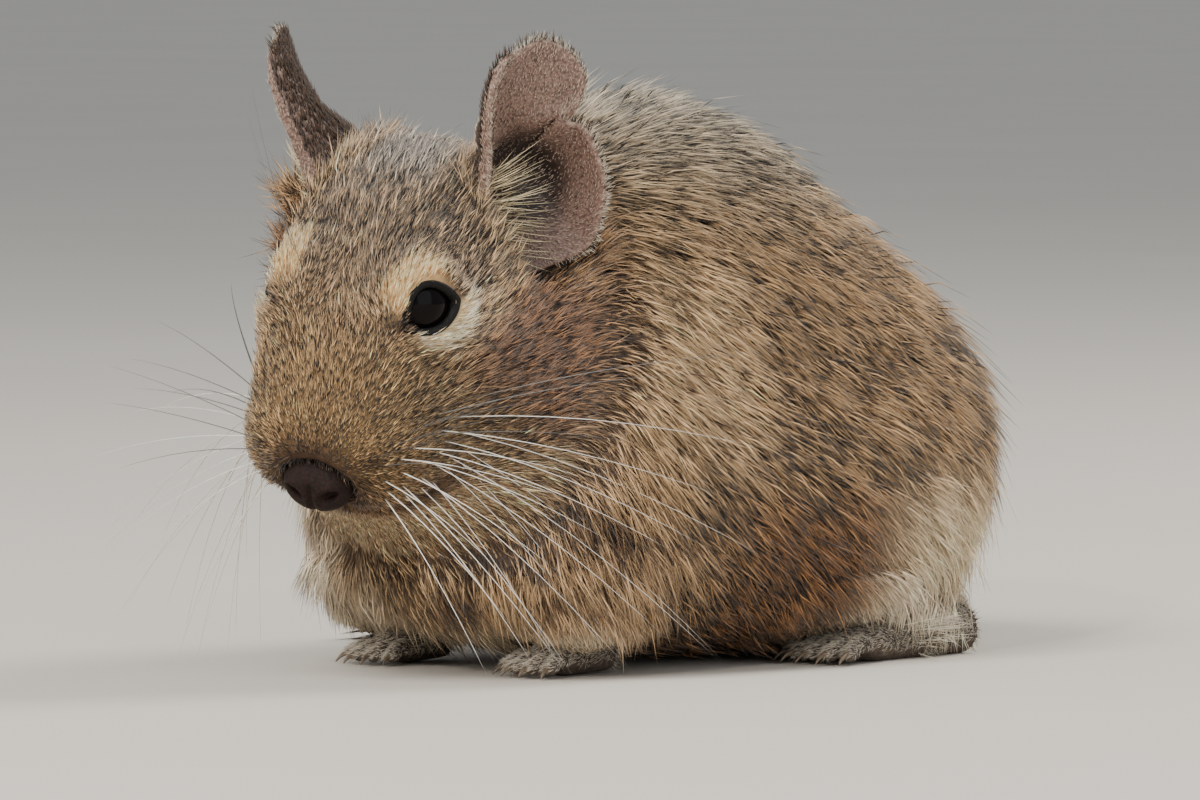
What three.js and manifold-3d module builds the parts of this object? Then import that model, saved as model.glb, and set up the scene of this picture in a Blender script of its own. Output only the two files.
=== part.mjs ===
// A degu at rest: a still, life-size figure that crouches on its four feet with a hunched back, the head
// low and turned a little to its left, and the tail curled round its right side.
// Millimetres, +Z up. The nose points to -Y and the animal's left is +X.
import * as THREE from "three";
import { mergeVertices } from "three/addons/utils/BufferGeometryUtils.js";
import Module from "manifold-3d";

const wasm = await Module();
wasm.setup();
const { Manifold } = wasm;

// Driving dimensions
const GAP = 0.3;
const HEAD_AT = [3, -48, 55.4];
const HEAD_TURN = THREE.MathUtils.degToRad(13.5);
const HEAD_PITCH = THREE.MathUtils.degToRad(46);
const HEAD_ROLL = THREE.MathUtils.degToRad(12);
const EYE_RADIUS = 4.3;
const EYE_AT = [9.5, -12, 8];
const FAR_EYE_IN = 1.4;
const EYE_OUT = [0.78, -0.42, 0.46];
const LID_THICKNESS = 1;
const LID_OPENING = { width: 7.5, above: 4.1, below: 2.1, drop: 1.1, slant: THREE.MathUtils.degToRad(-22) };
const EAR_BASE = [14.8, 9, 3];
const EAR_SWING = THREE.MathUtils.degToRad(57);
const EARS = {
  ear_left: { side: 1, out: 0.25, ahead: 0.16, sink: 0, notch: 0 },
  ear_right: { side: -1, out: 0.2, ahead: 0.19, sink: 3.5, notch: 2.2 },
};
const EAR_THICKNESS = 1.0;
const TAIL_PARTINGS = [0.36, 0.7];
const TAIL_STEPS = 30;
const TAIL_SIDES = 9;
const BRUSH = { locks: 14, length: 19, lean: 0.32, width: 2.6, seed: 7 };
const TORSO_MESH = 7.3;
const NECK_MESH = 5.3;
const HEAD_MESH = 3;
const LIMB_MESH = 5;

// Colours and finishes
const finish = (color, roughness) => new THREE.MeshStandardMaterial({ color, roughness, metalness: 0 });
const COAT = finish("#8a7355", 0.9);
const EAR_SKIN = finish("#5b4740", 0.7);
const EYE = finish("#0c0a0a", 0.05);
const NOSE = finish("#2c211e", 0.5);
const PAW = finish("#77716a", 0.8);
const TAIL_COAT = finish("#3c332b", 0.9);

// Distance fields, negative inside, in millimetres
function blob([cx, cy, cz], [hx, hy, hz], tiltDegrees = 0) {
  const c = Math.cos(THREE.MathUtils.degToRad(tiltDegrees));
  const s = Math.sin(THREE.MathUtils.degToRad(tiltDegrees));
  return (x, y, z) => {
    const px = x - cx;
    const py = (y - cy) * c + (z - cz) * s;
    const pz = (z - cz) * c - (y - cy) * s;
    const near = Math.hypot(px / hx, py / hy, pz / hz);
    const slope = Math.hypot(px / hx ** 2, py / hy ** 2, pz / hz ** 2);
    return slope > 1e-9 ? (near * (near - 1)) / slope : -Math.min(hx, hy, hz);
  };
}

function limb(from, to, startRadius, endRadius) {
  const [ax, ay, az] = from;
  const along = to.map((value, i) => value - from[i]);
  const [bx, by, bz] = along;
  const lengthSquared = bx * bx + by * by + bz * bz;
  return (x, y, z) => {
    const share = ((x - ax) * bx + (y - ay) * by + (z - az) * bz) / lengthSquared;
    const t = Math.min(1, Math.max(0, share));
    const reach = Math.hypot(x - ax - bx * t, y - ay - by * t, z - az - bz * t);
    return reach - startRadius - (endRadius - startRadius) * t;
  };
}

// Several fields melted together over a width in millimetres
function melt(width, ...fields) {
  return (x, y, z) =>
    fields
      .map((field) => field(x, y, z))
      .reduce((a, b) => {
        const overlap = Math.max(width - Math.abs(a - b), 0) / width;
        return Math.min(a, b) - (overlap * overlap * width) / 4;
      });
}

const paired = (field) => (x, y, z) => field(Math.abs(x), y, z);

// The right eye, seen past the bridge of the nose, sits closer in than the left
const eyeAt = (side) => [side * EYE_AT[0] + (side < 0 ? FAR_EYE_IN : 0), EYE_AT[1], EYE_AT[2]];
const orbitHalf = [1, 1, 1].map(() => EYE_RADIUS + LID_THICKNESS);

// The head's own frame: the nose along -Y and the crown along +Z before it is pitched and turned
const headFrame = new THREE.Matrix4()
  .makeRotationZ(HEAD_TURN)
  .multiply(new THREE.Matrix4().makeRotationX(HEAD_PITCH))
  .multiply(new THREE.Matrix4().makeRotationY(HEAD_ROLL))
  .setPosition(...HEAD_AT);
const fromHead = (point) => new THREE.Vector3(...point).applyMatrix4(headFrame);
const headInverse = headFrame.clone().invert();

function inHeadFrame(field) {
  const m = headInverse.elements;
  return (x, y, z) =>
    field(
      m[0] * x + m[4] * y + m[8] * z + m[12],
      m[1] * x + m[5] * y + m[9] * z + m[13],
      m[2] * x + m[6] * y + m[10] * z + m[14],
    );
}

// The head's masses: skull, bridge of the nose, muzzle, whisker pads, cheeks, jaw, brows, orbits, ear mounds
const headField = inHeadFrame(
  melt(
    4,
    paired(
      melt(
        4,
        melt(
          7,
          blob([0, 3, 0.5], [15, 17.5, 13]),
          limb([0, -5, 3.4], [0, -24.5, -5.4], 10.3, 7.8),
          limb([0, -8, -3], [0, -23, -8.5], 11.5, 8.4),
          limb([6, -13, 1.5], [6, -24, -5.5], 7, 6.6),
          blob([9.5, -2, -7], [8.2, 12.5, 9.5]),
          limb([0, -2, -9.5], [0, -22, -14.6], 8.5, 5.2),
        ),
        blob([6, -25.5, -8.6], [6.3, 6.6, 6]),
        blob([12, 9.5, 3.5], [5, 6.5, 7]),
      ),
    ),
    ...[1, -1].flatMap((side) => {
      const [x, y, z] = eyeAt(side);
      return [blob([x, y, z], orbitHalf), blob([x + side * 0.1, y + 2.5, z + 2.2], [3.6, 6, 2.8])];
    }),
  ),
);

// The trunk's masses: hump, rump, chest and belly, with the haunches and the folded forelegs
const trunkField = melt(
  17,
  blob([0, -4, 47], [29, 34, 32]),
  blob([0, 20, 30.5], [32.5, 35, 29]),
  blob([0, -26, 25], [28.5, 28, 20]),
  blob([0, 4, 19.5], [30.5, 40, 15.5]),
);
const haunchField = paired(
  melt(5, blob([21.5, 16.5, 23], [12, 22.5, 19.5], 12), limb([22, 30, 10], [23, 31, 7], 6, 5)),
);
const forelegField = paired(
  melt(6, blob([19.5, -27, 26], [10.5, 13.5, 17]), limb([21, -29, 18], [20.5, -31, 9.5], 9.5, 7.3)),
);
const neckField = limb([0, -23, 42], [3, -43, 46], 25, 19);
const tailRootField = limb([0, 44, 14], [0, 56, 7], 8, 5);
const bodyField = melt(8, melt(10, trunkField, neckField, tailRootField), haunchField, forelegField, headField);

// Closed surface of a field inside a box, one point in each cell that the surface crosses
function surfaceOf(field, [low, high], step, level = 0) {
  const count = low.map((value, i) => Math.ceil((high[i] - value) / step) + 1);
  const pastWall = (value, axis) => Math.max(low[axis] - value, value - high[axis]) + step;
  const inBox = (...point) => Math.max(...point.map(pastWall));
  const value = (x, y, z) => Math.max(field(x, y, z) - level, inBox(x, y, z));
  const at = (i, j, k) => (k * count[1] + j) * count[0] + i;
  const samples = new Float32Array(count[0] * count[1] * count[2]);
  for (let k = 0; k < count[2]; k++)
    for (let j = 0; j < count[1]; j++)
      for (let i = 0; i < count[0]; i++)
        samples[at(i, j, k)] = value(low[0] + i * step, low[1] + j * step, low[2] + k * step);
  const corners = [0, 1, 2, 3, 4, 5, 6, 7].map((c) => [c & 1, (c >> 1) & 1, (c >> 2) & 1]);
  const edges = [];
  for (let a = 0; a < 8; a++) for (const bit of [1, 2, 4]) if (!(a & bit)) edges.push([a, a | bit]);
  const positions = [];
  const cellPoint = new Int32Array(samples.length).fill(-1);
  for (let k = 0; k < count[2] - 1; k++)
    for (let j = 0; j < count[1] - 1; j++)
      for (let i = 0; i < count[0] - 1; i++) {
        const held = corners.map(([a, b, c]) => samples[at(i + a, j + b, k + c)]);
        const crossings = edges.filter(([a, b]) => held[a] < 0 !== held[b] < 0);
        if (!crossings.length) continue;
        const sum = [0, 0, 0];
        for (const [a, b] of crossings) {
          const t = held[a] / (held[a] - held[b]);
          for (let d = 0; d < 3; d++) sum[d] += corners[a][d] + (corners[b][d] - corners[a][d]) * t;
        }
        const point = sum.map((s, d) => low[d] + ([i, j, k][d] + s / crossings.length) * step);
        slideOnto(value, point);
        cellPoint[at(i, j, k)] = positions.length / 3;
        positions.push(...point);
      }
  const triangles = [];
  const strides = [1, count[0], count[0] * count[1]];
  const apart = (a, b) => [0, 1, 2].reduce((s, d) => s + (positions[3 * a + d] - positions[3 * b + d]) ** 2, 0);
  for (let k = 1; k < count[2] - 1; k++)
    for (let j = 1; j < count[1] - 1; j++)
      for (let i = 1; i < count[0] - 1; i++)
        for (let axis = 0; axis < 3; axis++) {
          const here = at(i, j, k);
          const inside = samples[here] < 0;
          if (inside === samples[here + strides[axis]] < 0) continue;
          const u = strides[(axis + 1) % 3];
          const v = strides[(axis + 2) % 3];
          const ring = [here, here - u, here - u - v, here - v].map((cell) => cellPoint[cell]);
          if (!inside) ring.reverse();
          const [a, b, c, d] = ring;
          if (apart(a, c) < apart(b, d)) triangles.push(a, b, c, a, c, d);
          else triangles.push(a, b, d, b, c, d);
        }
  return solidFrom(positions, triangles);
}

// Moves a point onto the zero of a field, down its slope
function slideOnto(value, point) {
  const reach = 0.05;
  for (let pass = 0; pass < 2; pass++) {
    const here = value(...point);
    const slope = [0, 1, 2].map((d) => {
      const ahead = [...point];
      ahead[d] += reach;
      return (value(...ahead) - here) / reach;
    });
    const steepness = slope.reduce((s, g) => s + g * g, 0);
    if (steepness < 0.1) return;
    slope.forEach((g, d) => (point[d] -= THREE.MathUtils.clamp((here * g) / steepness, -0.8, 0.8)));
  }
}

function solidFrom(positions, triangles) {
  return new Manifold(
    new wasm.Mesh({
      numProp: 3,
      vertProperties: new Float32Array(positions),
      triVerts: new Uint32Array(triangles),
    }),
  );
}

function solidOf(geometry, matrix) {
  const bare = new THREE.BufferGeometry();
  bare.setAttribute("position", geometry.getAttribute("position").clone());
  bare.setIndex(geometry.index);
  if (matrix) bare.applyMatrix4(matrix);
  const merged = mergeVertices(bare, 1e-4);
  return solidFrom(merged.attributes.position.array, merged.index.array);
}

const largest = (solid) => solid.decompose().reduce((a, b) => (b.volume() > a.volume() ? b : a));
const joined = (solids) => solids.reduce((a, b) => a.add(b));

function ball(centre, half, detail = 3, grow = 0) {
  const geometry = new THREE.IcosahedronGeometry(1, detail);
  const size = half.map((h) => h + grow);
  const matrix = new THREE.Matrix4().makeScale(...size).setPosition(...centre);
  return solidOf(geometry, matrix);
}

// A closed round bar along a curve, whose radius follows a function of the share of its length
function taperedBar(curve, radiusAt, steps, sides) {
  const frames = curve.computeFrenetFrames(steps, false);
  const positions = [];
  const triangles = [];
  for (let i = 0; i <= steps; i++) {
    const centre = curve.getPointAt(i / steps);
    for (let j = 0; j < sides; j++) {
      const angle = (2 * Math.PI * j) / sides;
      const rim = centre
        .clone()
        .addScaledVector(frames.normals[i], Math.cos(angle) * radiusAt(i / steps))
        .addScaledVector(frames.binormals[i], Math.sin(angle) * radiusAt(i / steps));
      positions.push(rim.x, rim.y, rim.z);
    }
  }
  for (let i = 0; i < steps; i++)
    for (let j = 0; j < sides; j++) {
      const a = i * sides + j;
      const b = i * sides + ((j + 1) % sides);
      triangles.push(a, b, b + sides, a, b + sides, a + sides);
    }
  for (const [ring, share, outward] of [[0, 0, false], [steps, 1, true]]) {
    const hub = positions.length / 3;
    const centre = curve.getPointAt(share);
    centre.addScaledVector(curve.getTangentAt(share), (outward ? 0.5 : -0.5) * radiusAt(share));
    positions.push(centre.x, centre.y, centre.z);
    for (let j = 0; j < sides; j++) {
      const a = ring * sides + j;
      const b = ring * sides + ((j + 1) % sides);
      triangles.push(...(outward ? [a, b, hub] : [b, a, hub]));
    }
  }
  return solidFrom(positions, triangles);
}

function seededRandom(seed) {
  let state = seed;
  return () => {
    state = (state * 16807) % 2147483647;
    return state / 2147483647;
  };
}

const curveThrough = (...points) => new THREE.CatmullRomCurve3(points.map((p) => new THREE.Vector3(...p)));

const BODY_BOX = [[-52, -92, -6], [52, 72, 92]];
const floorSlab = solidOf(new THREE.BoxGeometry(400, 400, 40), new THREE.Matrix4().makeTranslation(0, 0, -20));

// Regions that part the body into its named pieces, each with a copy grown by the gap
const HEAD_CENTRE = fromHead([0, -10, -4]).toArray();
const NECK_CENTRE = [HEAD_CENTRE[0] - 3, HEAD_CENTRE[1] + 12, HEAD_CENTRE[2] + 4];
const regions = {
  head: { centre: HEAD_CENTRE, half: [27.5, 27.5, 27.5] },
  neck: { centre: NECK_CENTRE, half: [32, 31, 33] },
};
for (const side of [1, -1]) {
  const name = side > 0 ? "left" : "right";
  regions["hindleg_" + name] = { centre: [side * 31, 20, 20], half: [17, 29, 25] };
  regions["foreleg_" + name] = { centre: [side * 24, -34, 16], half: [14, 17, 19] };
}
regions.tail_root = { centre: [0, 60, 8], half: [12, 14, 12] };
const region = (name, grow = 0) => ball(regions[name].centre, regions[name].half, 4, grow);

function partOf(name, step, others = []) {
  const { centre, half } = regions[name];
  const margin = 3 * step;
  const box = [centre.map((c, i) => c - half[i] - margin), centre.map((c, i) => c + half[i] + margin)];
  let solid = surfaceOf(bodyField, box, step).intersect(region(name));
  for (const other of others) solid = solid.subtract(region(other, GAP));
  return largest(solid.subtract(floorSlab));
}

// The body grown by the gap and by the slack of its coarse faces, to trim what rests against it
const FACE_SLACK = 0.45;
const grownBody = surfaceOf(bodyField, BODY_BOX, 4, GAP + FACE_SLACK);

const degu = new THREE.Group();

function addPiece(name, solid, material) {
  const mesh = solid.getMesh();
  const geometry = new THREE.BufferGeometry();
  const stride = mesh.numProp;
  const positions = new Float32Array(mesh.numVert * 3);
  for (let i = 0; i < mesh.numVert; i++)
    positions.set(mesh.vertProperties.subarray(i * stride, i * stride + 3), i * 3);
  geometry.setAttribute("position", new THREE.BufferAttribute(positions, 3));
  geometry.setIndex(new THREE.BufferAttribute(new Uint32Array(mesh.triVerts), 1));
  geometry.computeVertexNormals();
  const node = new THREE.Mesh(geometry, material);
  node.name = name;
  degu.add(node);
}

// Eyes
function eyeCentre(side) {
  return fromHead(eyeAt(side));
}

function eyeball(side, grow = 0) {
  return ball(eyeCentre(side).toArray(), [EYE_RADIUS, EYE_RADIUS, EYE_RADIUS], 2, grow);
}

// The almond opening between the lids, as a prism that points out of the eye
function lidOpening(side) {
  const { width, above, below, drop, slant } = LID_OPENING;
  const canthus = (side * width) / 2;
  const top = above * 1.33 - drop;
  const bottom = -below * 1.33 - drop;
  const almond = new THREE.Shape();
  almond.moveTo(-canthus, -drop);
  almond.bezierCurveTo(-canthus * 0.6, top, canthus * 0.65, top, canthus, -drop);
  almond.bezierCurveTo(canthus * 0.6, bottom, -canthus * 0.5, bottom, -canthus, -drop);
  const prism = new THREE.ExtrudeGeometry(almond, { depth: 12, bevelEnabled: false, curveSegments: 8 });
  const out = new THREE.Vector3(side * EYE_OUT[0], EYE_OUT[1], EYE_OUT[2]).normalize();
  const across = new THREE.Vector3(0, Math.cos(slant), Math.sin(slant)).multiplyScalar(side);
  across.addScaledVector(out, -across.dot(out)).normalize();
  const frame = new THREE.Matrix4().makeBasis(across, new THREE.Vector3().crossVectors(out, across), out);
  frame.setPosition(...eyeAt(side));
  return solidOf(prism, headFrame.clone().multiply(frame));
}

// Ears: a thin cupped shell, drawn in its own plane with p towards its rear edge and q up its length
const EAR_OUTLINE = [
  [-2.7, -3.2], [-5.8, 2.4], [-6.4, 8.1], [-7.5, 15.7], [-6.6, 21], [-3.4, 23.7], [0.4, 24.7],
  [4.1, 22.9], [6.2, 20.3], [6.4, 17.5], [4.9, 15.8], [3.7, 14.3], [5.4, 13.2], [7, 12.9],
  [8.9, 9.8], [10.4, 5.3], [10.4, 1], [9.4, -3.7], [5.6, -6.6], [0.7, -8.2],
];
const EAR_NOTCH_AT = [10, 11, 12];
const EAR_DEEP_POINT = [1.8, 4];
const EAR_CUP_DEPTH = 7.5;
const EAR_RINGS = 5;
const EAR_SPOKES = 30;

// The frame of an ear: up its length, the way it opens, and towards its rear edge
function earFrame({ side, out, ahead, sink }) {
  const forward = new THREE.Vector3(Math.sin(HEAD_TURN), -Math.cos(HEAD_TURN), 0);
  const lateral = new THREE.Vector3(Math.cos(HEAD_TURN), Math.sin(HEAD_TURN), 0).multiplyScalar(side);
  const up = new THREE.Vector3(0, 0, 1).addScaledVector(lateral, out);
  up.addScaledVector(forward, ahead).normalize();
  const opening = forward.multiplyScalar(Math.cos(EAR_SWING)).addScaledVector(lateral, Math.sin(EAR_SWING));
  opening.addScaledVector(up, -opening.dot(up)).normalize();
  const rear = new THREE.Vector3().crossVectors(up, opening).multiplyScalar(side);
  const base = fromHead([side * EAR_BASE[0], EAR_BASE[1], EAR_BASE[2]]).addScaledVector(up, -sink);
  return { up, opening, rear, base };
}

// A point on the middle of the ear's wall, from the rim point of its spoke and its share of the way out
function earWall({ up, opening, rear, base }, rimPoint, share) {
  const front = THREE.MathUtils.smoothstep(-rimPoint.x, 0, 7) * THREE.MathUtils.smoothstep(rimPoint.y, -6, 4);
  const belly = 0.3 * front * Math.sin(Math.PI * share ** 1.5);
  const deep = new THREE.Vector3(...EAR_DEEP_POINT, 0);
  const flat = deep.lerp(rimPoint, share + belly);
  const hollow = (1 - share ** 2.2) * Math.exp(-(((flat.y - 3) / 10) ** 2));
  const curve = 0.035 * (flat.x - 1.5) ** 2 * share;
  return base
    .clone()
    .addScaledVector(rear, flat.x)
    .addScaledVector(up, flat.y)
    .addScaledVector(opening, curve - EAR_CUP_DEPTH * hollow);
}

// The shell itself, or with a reach the whole room it takes up, open to that distance in front of it
function earShell(ear, grow = 0, reach = 0) {
  const frame = earFrame(ear);
  const notchAt = (i) => (EAR_NOTCH_AT.includes(i) ? ear.notch : 0);
  const drawn = EAR_OUTLINE.map(([p, q], i) => new THREE.Vector3(p + notchAt(i), q, 0));
  const outline = new THREE.CatmullRomCurve3(drawn, true, "centripetal");
  const rim = outline.getSpacedPoints(EAR_SPOKES).slice(0, EAR_SPOKES);
  const perFace = 1 + EAR_RINGS * EAR_SPOKES;
  const onRing = (ring, spoke) => (ring ? 1 + (ring - 1) * EAR_SPOKES + (spoke % EAR_SPOKES) : 0);
  const index = (face, ring, spoke) => face * perFace + onRing(ring, spoke);
  for (const point of rim) point.multiplyScalar(1 + grow / point.length());
  const wall = (ring, spoke) => earWall(frame, rim[(spoke + EAR_SPOKES) % EAR_SPOKES], ring / EAR_RINGS);
  const positions = [];
  for (const face of [0, 1])
    for (let ring = 0; ring <= EAR_RINGS; ring++)
      for (let spoke = 0; spoke < (ring ? EAR_SPOKES : 1); spoke++) {
        const outward = ring ? wall(ring, spoke).sub(wall(ring - 1, spoke)) : frame.rear.clone();
        const around = ring ? wall(ring, spoke + 1).sub(wall(ring, spoke - 1)) : frame.up.clone();
        const normal = new THREE.Vector3().crossVectors(outward, around).normalize();
        if (ring ? ear.side > 0 : normal.dot(frame.opening) < 0) normal.negate();
        const half = (EAR_THICKNESS / 2) * (1 - 0.35 * (ring / EAR_RINGS) ** 3);
        const point = wall(ring, spoke).addScaledVector(normal, face ? -half - grow : half);
        if (!face) point.addScaledVector(frame.opening, reach);
        positions.push(point.x, point.y, point.z);
      }
  const triangles = [];
  const put = (face, a, b, c) => triangles.push(...(face === (ear.side > 0 ? 0 : 1) ? [a, c, b] : [a, b, c]));
  for (const face of [0, 1])
    for (let spoke = 0; spoke < EAR_SPOKES; spoke++) {
      put(face, index(face, 0, 0), index(face, 1, spoke), index(face, 1, spoke + 1));
      for (let ring = 1; ring < EAR_RINGS; ring++) {
        const [a, b] = [index(face, ring, spoke), index(face, ring, spoke + 1)];
        const [c, d] = [index(face, ring + 1, spoke), index(face, ring + 1, spoke + 1)];
        put(face, a, c, d);
        put(face, a, d, b);
      }
    }
  for (let spoke = 0; spoke < EAR_SPOKES; spoke++) {
    const [a, b] = [index(0, EAR_RINGS, spoke), index(0, EAR_RINGS, spoke + 1)];
    const [c, d] = [index(1, EAR_RINGS, spoke), index(1, EAR_RINGS, spoke + 1)];
    put(0, a, c, d);
    put(0, a, d, b);
  }
  return solidFrom(positions, triangles);
}

for (const [name, ear] of Object.entries(EARS)) addPiece(name, earShell(ear), EAR_SKIN);
const earRoom = joined(Object.values(EARS).map((ear) => earShell(ear, GAP, 9)));

// Head: skull, muzzle and jaw, with eye sockets under the lids, the line of the mouth and the groove above it
const noseField = inHeadFrame(blob([0, -32.6, -7.6], [5.1, 2.9, 4], 20));
const grownNose = surfaceOf(noseField, [[-20, -95, 5], [30, -55, 50]], 1.7, GAP);
const innerHead = surfaceOf(bodyField, [[-24, -90, 20], [34, -56, 60]], 2.2, -1.5);

function mouthGroove() {
  const line = new THREE.Shape();
  line.moveTo(-40, -12.2);
  line.quadraticCurveTo(-28, -12.7, -21.5, -10.6);
  line.lineTo(-21.5, -11.3);
  line.quadraticCurveTo(-28, -13.5, -40, -13);
  const slit = new THREE.ExtrudeGeometry(line, { depth: 30, bevelEnabled: false, curveSegments: 8 });
  const sideways = new THREE.Matrix4().makeBasis(
    new THREE.Vector3(0, 1, 0),
    new THREE.Vector3(0, 0, 1),
    new THREE.Vector3(1, 0, 0),
  );
  sideways.setPosition(-15, 0, 0);
  const lip = new THREE.Matrix4().makeTranslation(0, -33, -11);
  const philtrum = solidOf(new THREE.BoxGeometry(0.6, 8, 4), headFrame.clone().multiply(lip));
  return solidOf(slit, headFrame.clone().multiply(sideways)).add(philtrum).subtract(innerHead);
}

let head = partOf("head", HEAD_MESH);
for (const side of [1, -1]) head = head.subtract(eyeball(side, GAP)).subtract(lidOpening(side));
head = head.subtract(grownNose).subtract(mouthGroove()).subtract(earRoom);
addPiece("head", largest(head), COAT);

// Nose pad with its two nostrils
function nostril(side) {
  const turn = new THREE.Matrix4().makeRotationFromEuler(new THREE.Euler(0.5, 0, side * 0.6));
  const placed = headFrame
    .clone()
    .multiply(new THREE.Matrix4().makeTranslation(side * 2.8, -35.1, -7.7))
    .multiply(turn)
    .multiply(new THREE.Matrix4().makeScale(1.15, 1.5, 0.7));
  return solidOf(new THREE.IcosahedronGeometry(1, 2), placed);
}
const nosePad = surfaceOf(noseField, [[-20, -95, 5], [30, -55, 50]], 1.6);
addPiece("nose", largest(nosePad.subtract(nostril(1)).subtract(nostril(-1))), NOSE);

for (const side of [1, -1]) addPiece(side > 0 ? "eye_left" : "eye_right", eyeball(side), EYE);

// Neck, trunk, legs
addPiece("neck", largest(partOf("neck", NECK_MESH, ["head"]).subtract(earRoom)), COAT);
let torso = surfaceOf(bodyField, BODY_BOX, TORSO_MESH);
for (const name of Object.keys(regions)) torso = torso.subtract(region(name, GAP));
addPiece("torso", largest(torso.subtract(floorSlab).subtract(earRoom)), COAT);
for (const side of ["left", "right"]) {
  addPiece("foreleg_" + side, partOf("foreleg_" + side, LIMB_MESH, ["neck", "head"]), COAT);
  addPiece("hindleg_" + side, partOf("hindleg_" + side, LIMB_MESH, ["tail_root"]), COAT);
}

// Paws: a pad with four or five jointed digits, each ending in a claw
function paw(foot, side) {
  const { heel, ball: pad, padHalf, heelRadius, padRadius } = foot;
  const { digits, spread, digitLength, digitRadius, claw } = foot;
  const place = ([x, y, z]) => [side * x, y, z];
  const instep = heel.map((value, i) => (value + pad[i]) / 2);
  const shankRadius = (t) => THREE.MathUtils.lerp(heelRadius, padRadius, t);
  const shank = taperedBar(curveThrough(place(heel), place(instep), place(pad)), shankRadius, 3, 8);
  const heelEnd = ball(place(heel), [heelRadius, heelRadius, heelRadius], 1);
  const solids = [shank, ball(place(pad), padHalf, 2), heelEnd];
  for (let i = 0; i < digits; i++) {
    const share = i / (digits - 1) - 0.5;
    const angle = THREE.MathUtils.degToRad(spread * share);
    const reach = digitLength * (1 - 0.9 * share * share);
    const knuckle = [pad[0] + share * padHalf[0] * 1.35, pad[1] - padHalf[1] * 0.5, pad[2]];
    const ahead = (distance, height) => place([
      knuckle[0] + Math.sin(angle) * distance,
      knuckle[1] - Math.cos(angle) * distance,
      height,
    ]);
    const digit = curveThrough(
      place(knuckle),
      ahead(reach * 0.45, pad[2] + 0.7),
      ahead(reach * 0.8, digitRadius * 1.3),
      ahead(reach, digitRadius * 0.95),
    );
    solids.push(taperedBar(digit, (t) => digitRadius * (1.12 - 0.2 * t), 3, 5));
    const nail = curveThrough(
      ahead(reach - 0.8, digitRadius * 1.25),
      ahead(reach + claw * 0.5, digitRadius * 1.05),
      ahead(reach + claw, 0.45),
    );
    solids.push(taperedBar(nail, (t) => THREE.MathUtils.lerp(0.6, 0.25, t), 2, 4));
  }
  return largest(joined(solids).subtract(grownBody).subtract(floorSlab));
}

const FOREPAW = {
  heel: [16, -24.5, 4.2], ball: [15.5, -30.5, 2.5], padHalf: [4, 4.4, 2.9],
  heelRadius: 3.7, padRadius: 2.9,
  digits: 4, spread: 34, digitLength: 5.6, digitRadius: 1.15, claw: 1.8,
};
const HINDFOOT = {
  heel: [24, 36, 4], ball: [25.5, 17, 2.6], padHalf: [4.9, 6, 3.1],
  heelRadius: 4.3, padRadius: 3.1,
  digits: 5, spread: 38, digitLength: 7.6, digitRadius: 1.3, claw: 2.4,
};
for (const [side, name] of [[1, "left"], [-1, "right"]]) {
  addPiece("forepaw_" + name, paw(FOREPAW, side), PAW);
  addPiece("hindfoot_" + name, paw(HINDFOOT, side), PAW);
}

// Tail: three lengths of one bar that lies on the floor round the right flank
const tailCurve = curveThrough(
  [0, 50, 9], [-0.5, 57, 5.6], [-4, 65, 4], [-14, 73, 3.5], [-28, 75, 3.2],
  [-41, 68, 3], [-49, 54, 2.8], [-53, 38, 2.6], [-53.5, 20, 2.4], [-51, 4, 2.3],
);
const tailRadius = (t) => THREE.MathUtils.lerp(4.6, 2.5, Math.min(1, t * 1.25));

// The brush at the end of the tail: flat locks that spring from its last stretch and lean along it
function brushLock(random) {
  const start = THREE.MathUtils.lerp(0.84, 0.985, random());
  const root = tailCurve.getPointAt(start);
  const along = tailCurve.getTangentAt(start);
  const angle = 2 * Math.PI * random();
  const upright = new THREE.Vector3(0, 0, 1);
  const away = upright.clone().cross(along).setLength(Math.cos(angle));
  away.addScaledVector(upright, Math.sin(angle));
  const length = BRUSH.length * THREE.MathUtils.lerp(0.8, 1.1, random());
  const lean = BRUSH.lean * THREE.MathUtils.lerp(0.6, 1.1, random());
  const at = (share) => {
    const point = root.clone().addScaledVector(along, length * share);
    point.addScaledVector(away, lean * length * share ** 1.4);
    point.z = Math.max(point.z, 0.75);
    return point;
  };
  const spine = new THREE.CatmullRomCurve3([at(0), at(0.35), at(0.7), at(1)]);
  const taper = (t) => Math.max(0.28, (BRUSH.width / 2) * (1 - 0.85 * t ** 1.5));
  return taperedBar(spine, taper, 3, 4);
}

const random = seededRandom(BRUSH.seed);
const brush = [];
for (let i = 0; i < BRUSH.locks; i++) brush.push(brushLock(random));
const tailWhole = taperedBar(tailCurve, tailRadius, TAIL_STEPS, TAIL_SIDES);

// A thin slab square to the tail, which parts one length from the next
function tailParting(share) {
  const upright = new THREE.Vector3(0, 0, 1);
  const square = new THREE.Quaternion().setFromUnitVectors(upright, tailCurve.getTangentAt(share));
  const frame = new THREE.Matrix4().makeRotationFromQuaternion(square).setPosition(tailCurve.getPointAt(share));
  return solidOf(new THREE.BoxGeometry(14, 14, GAP), frame);
}

const tailLengths = joined([tailWhole, ...brush])
  .subtract(joined([...TAIL_PARTINGS.map(tailParting), floorSlab]))
  .subtract(grownBody)
  .decompose();
const holds = ({ min, max }, { x, y }) => x > min[0] && x < max[0] && y > min[1] && y < max[1];
for (const [name, share] of Object.entries({ tail_base: 0.25, tail_middle: 0.53, tail_tip: 0.82 })) {
  const centre = tailCurve.getPointAt(share);
  const length = tailLengths.find((solid) => solid.volume() > 50 && holds(solid.boundingBox(), centre));
  addPiece(name, length, TAIL_COAT);
}

// The origin is on the floor, midway between the furthest points of the figure
const bounds = new THREE.Box3().setFromObject(degu);
degu.position.set(-(bounds.min.x + bounds.max.x) / 2, -(bounds.min.y + bounds.max.y) / 2, -bounds.min.z);

export default degu;
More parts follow.
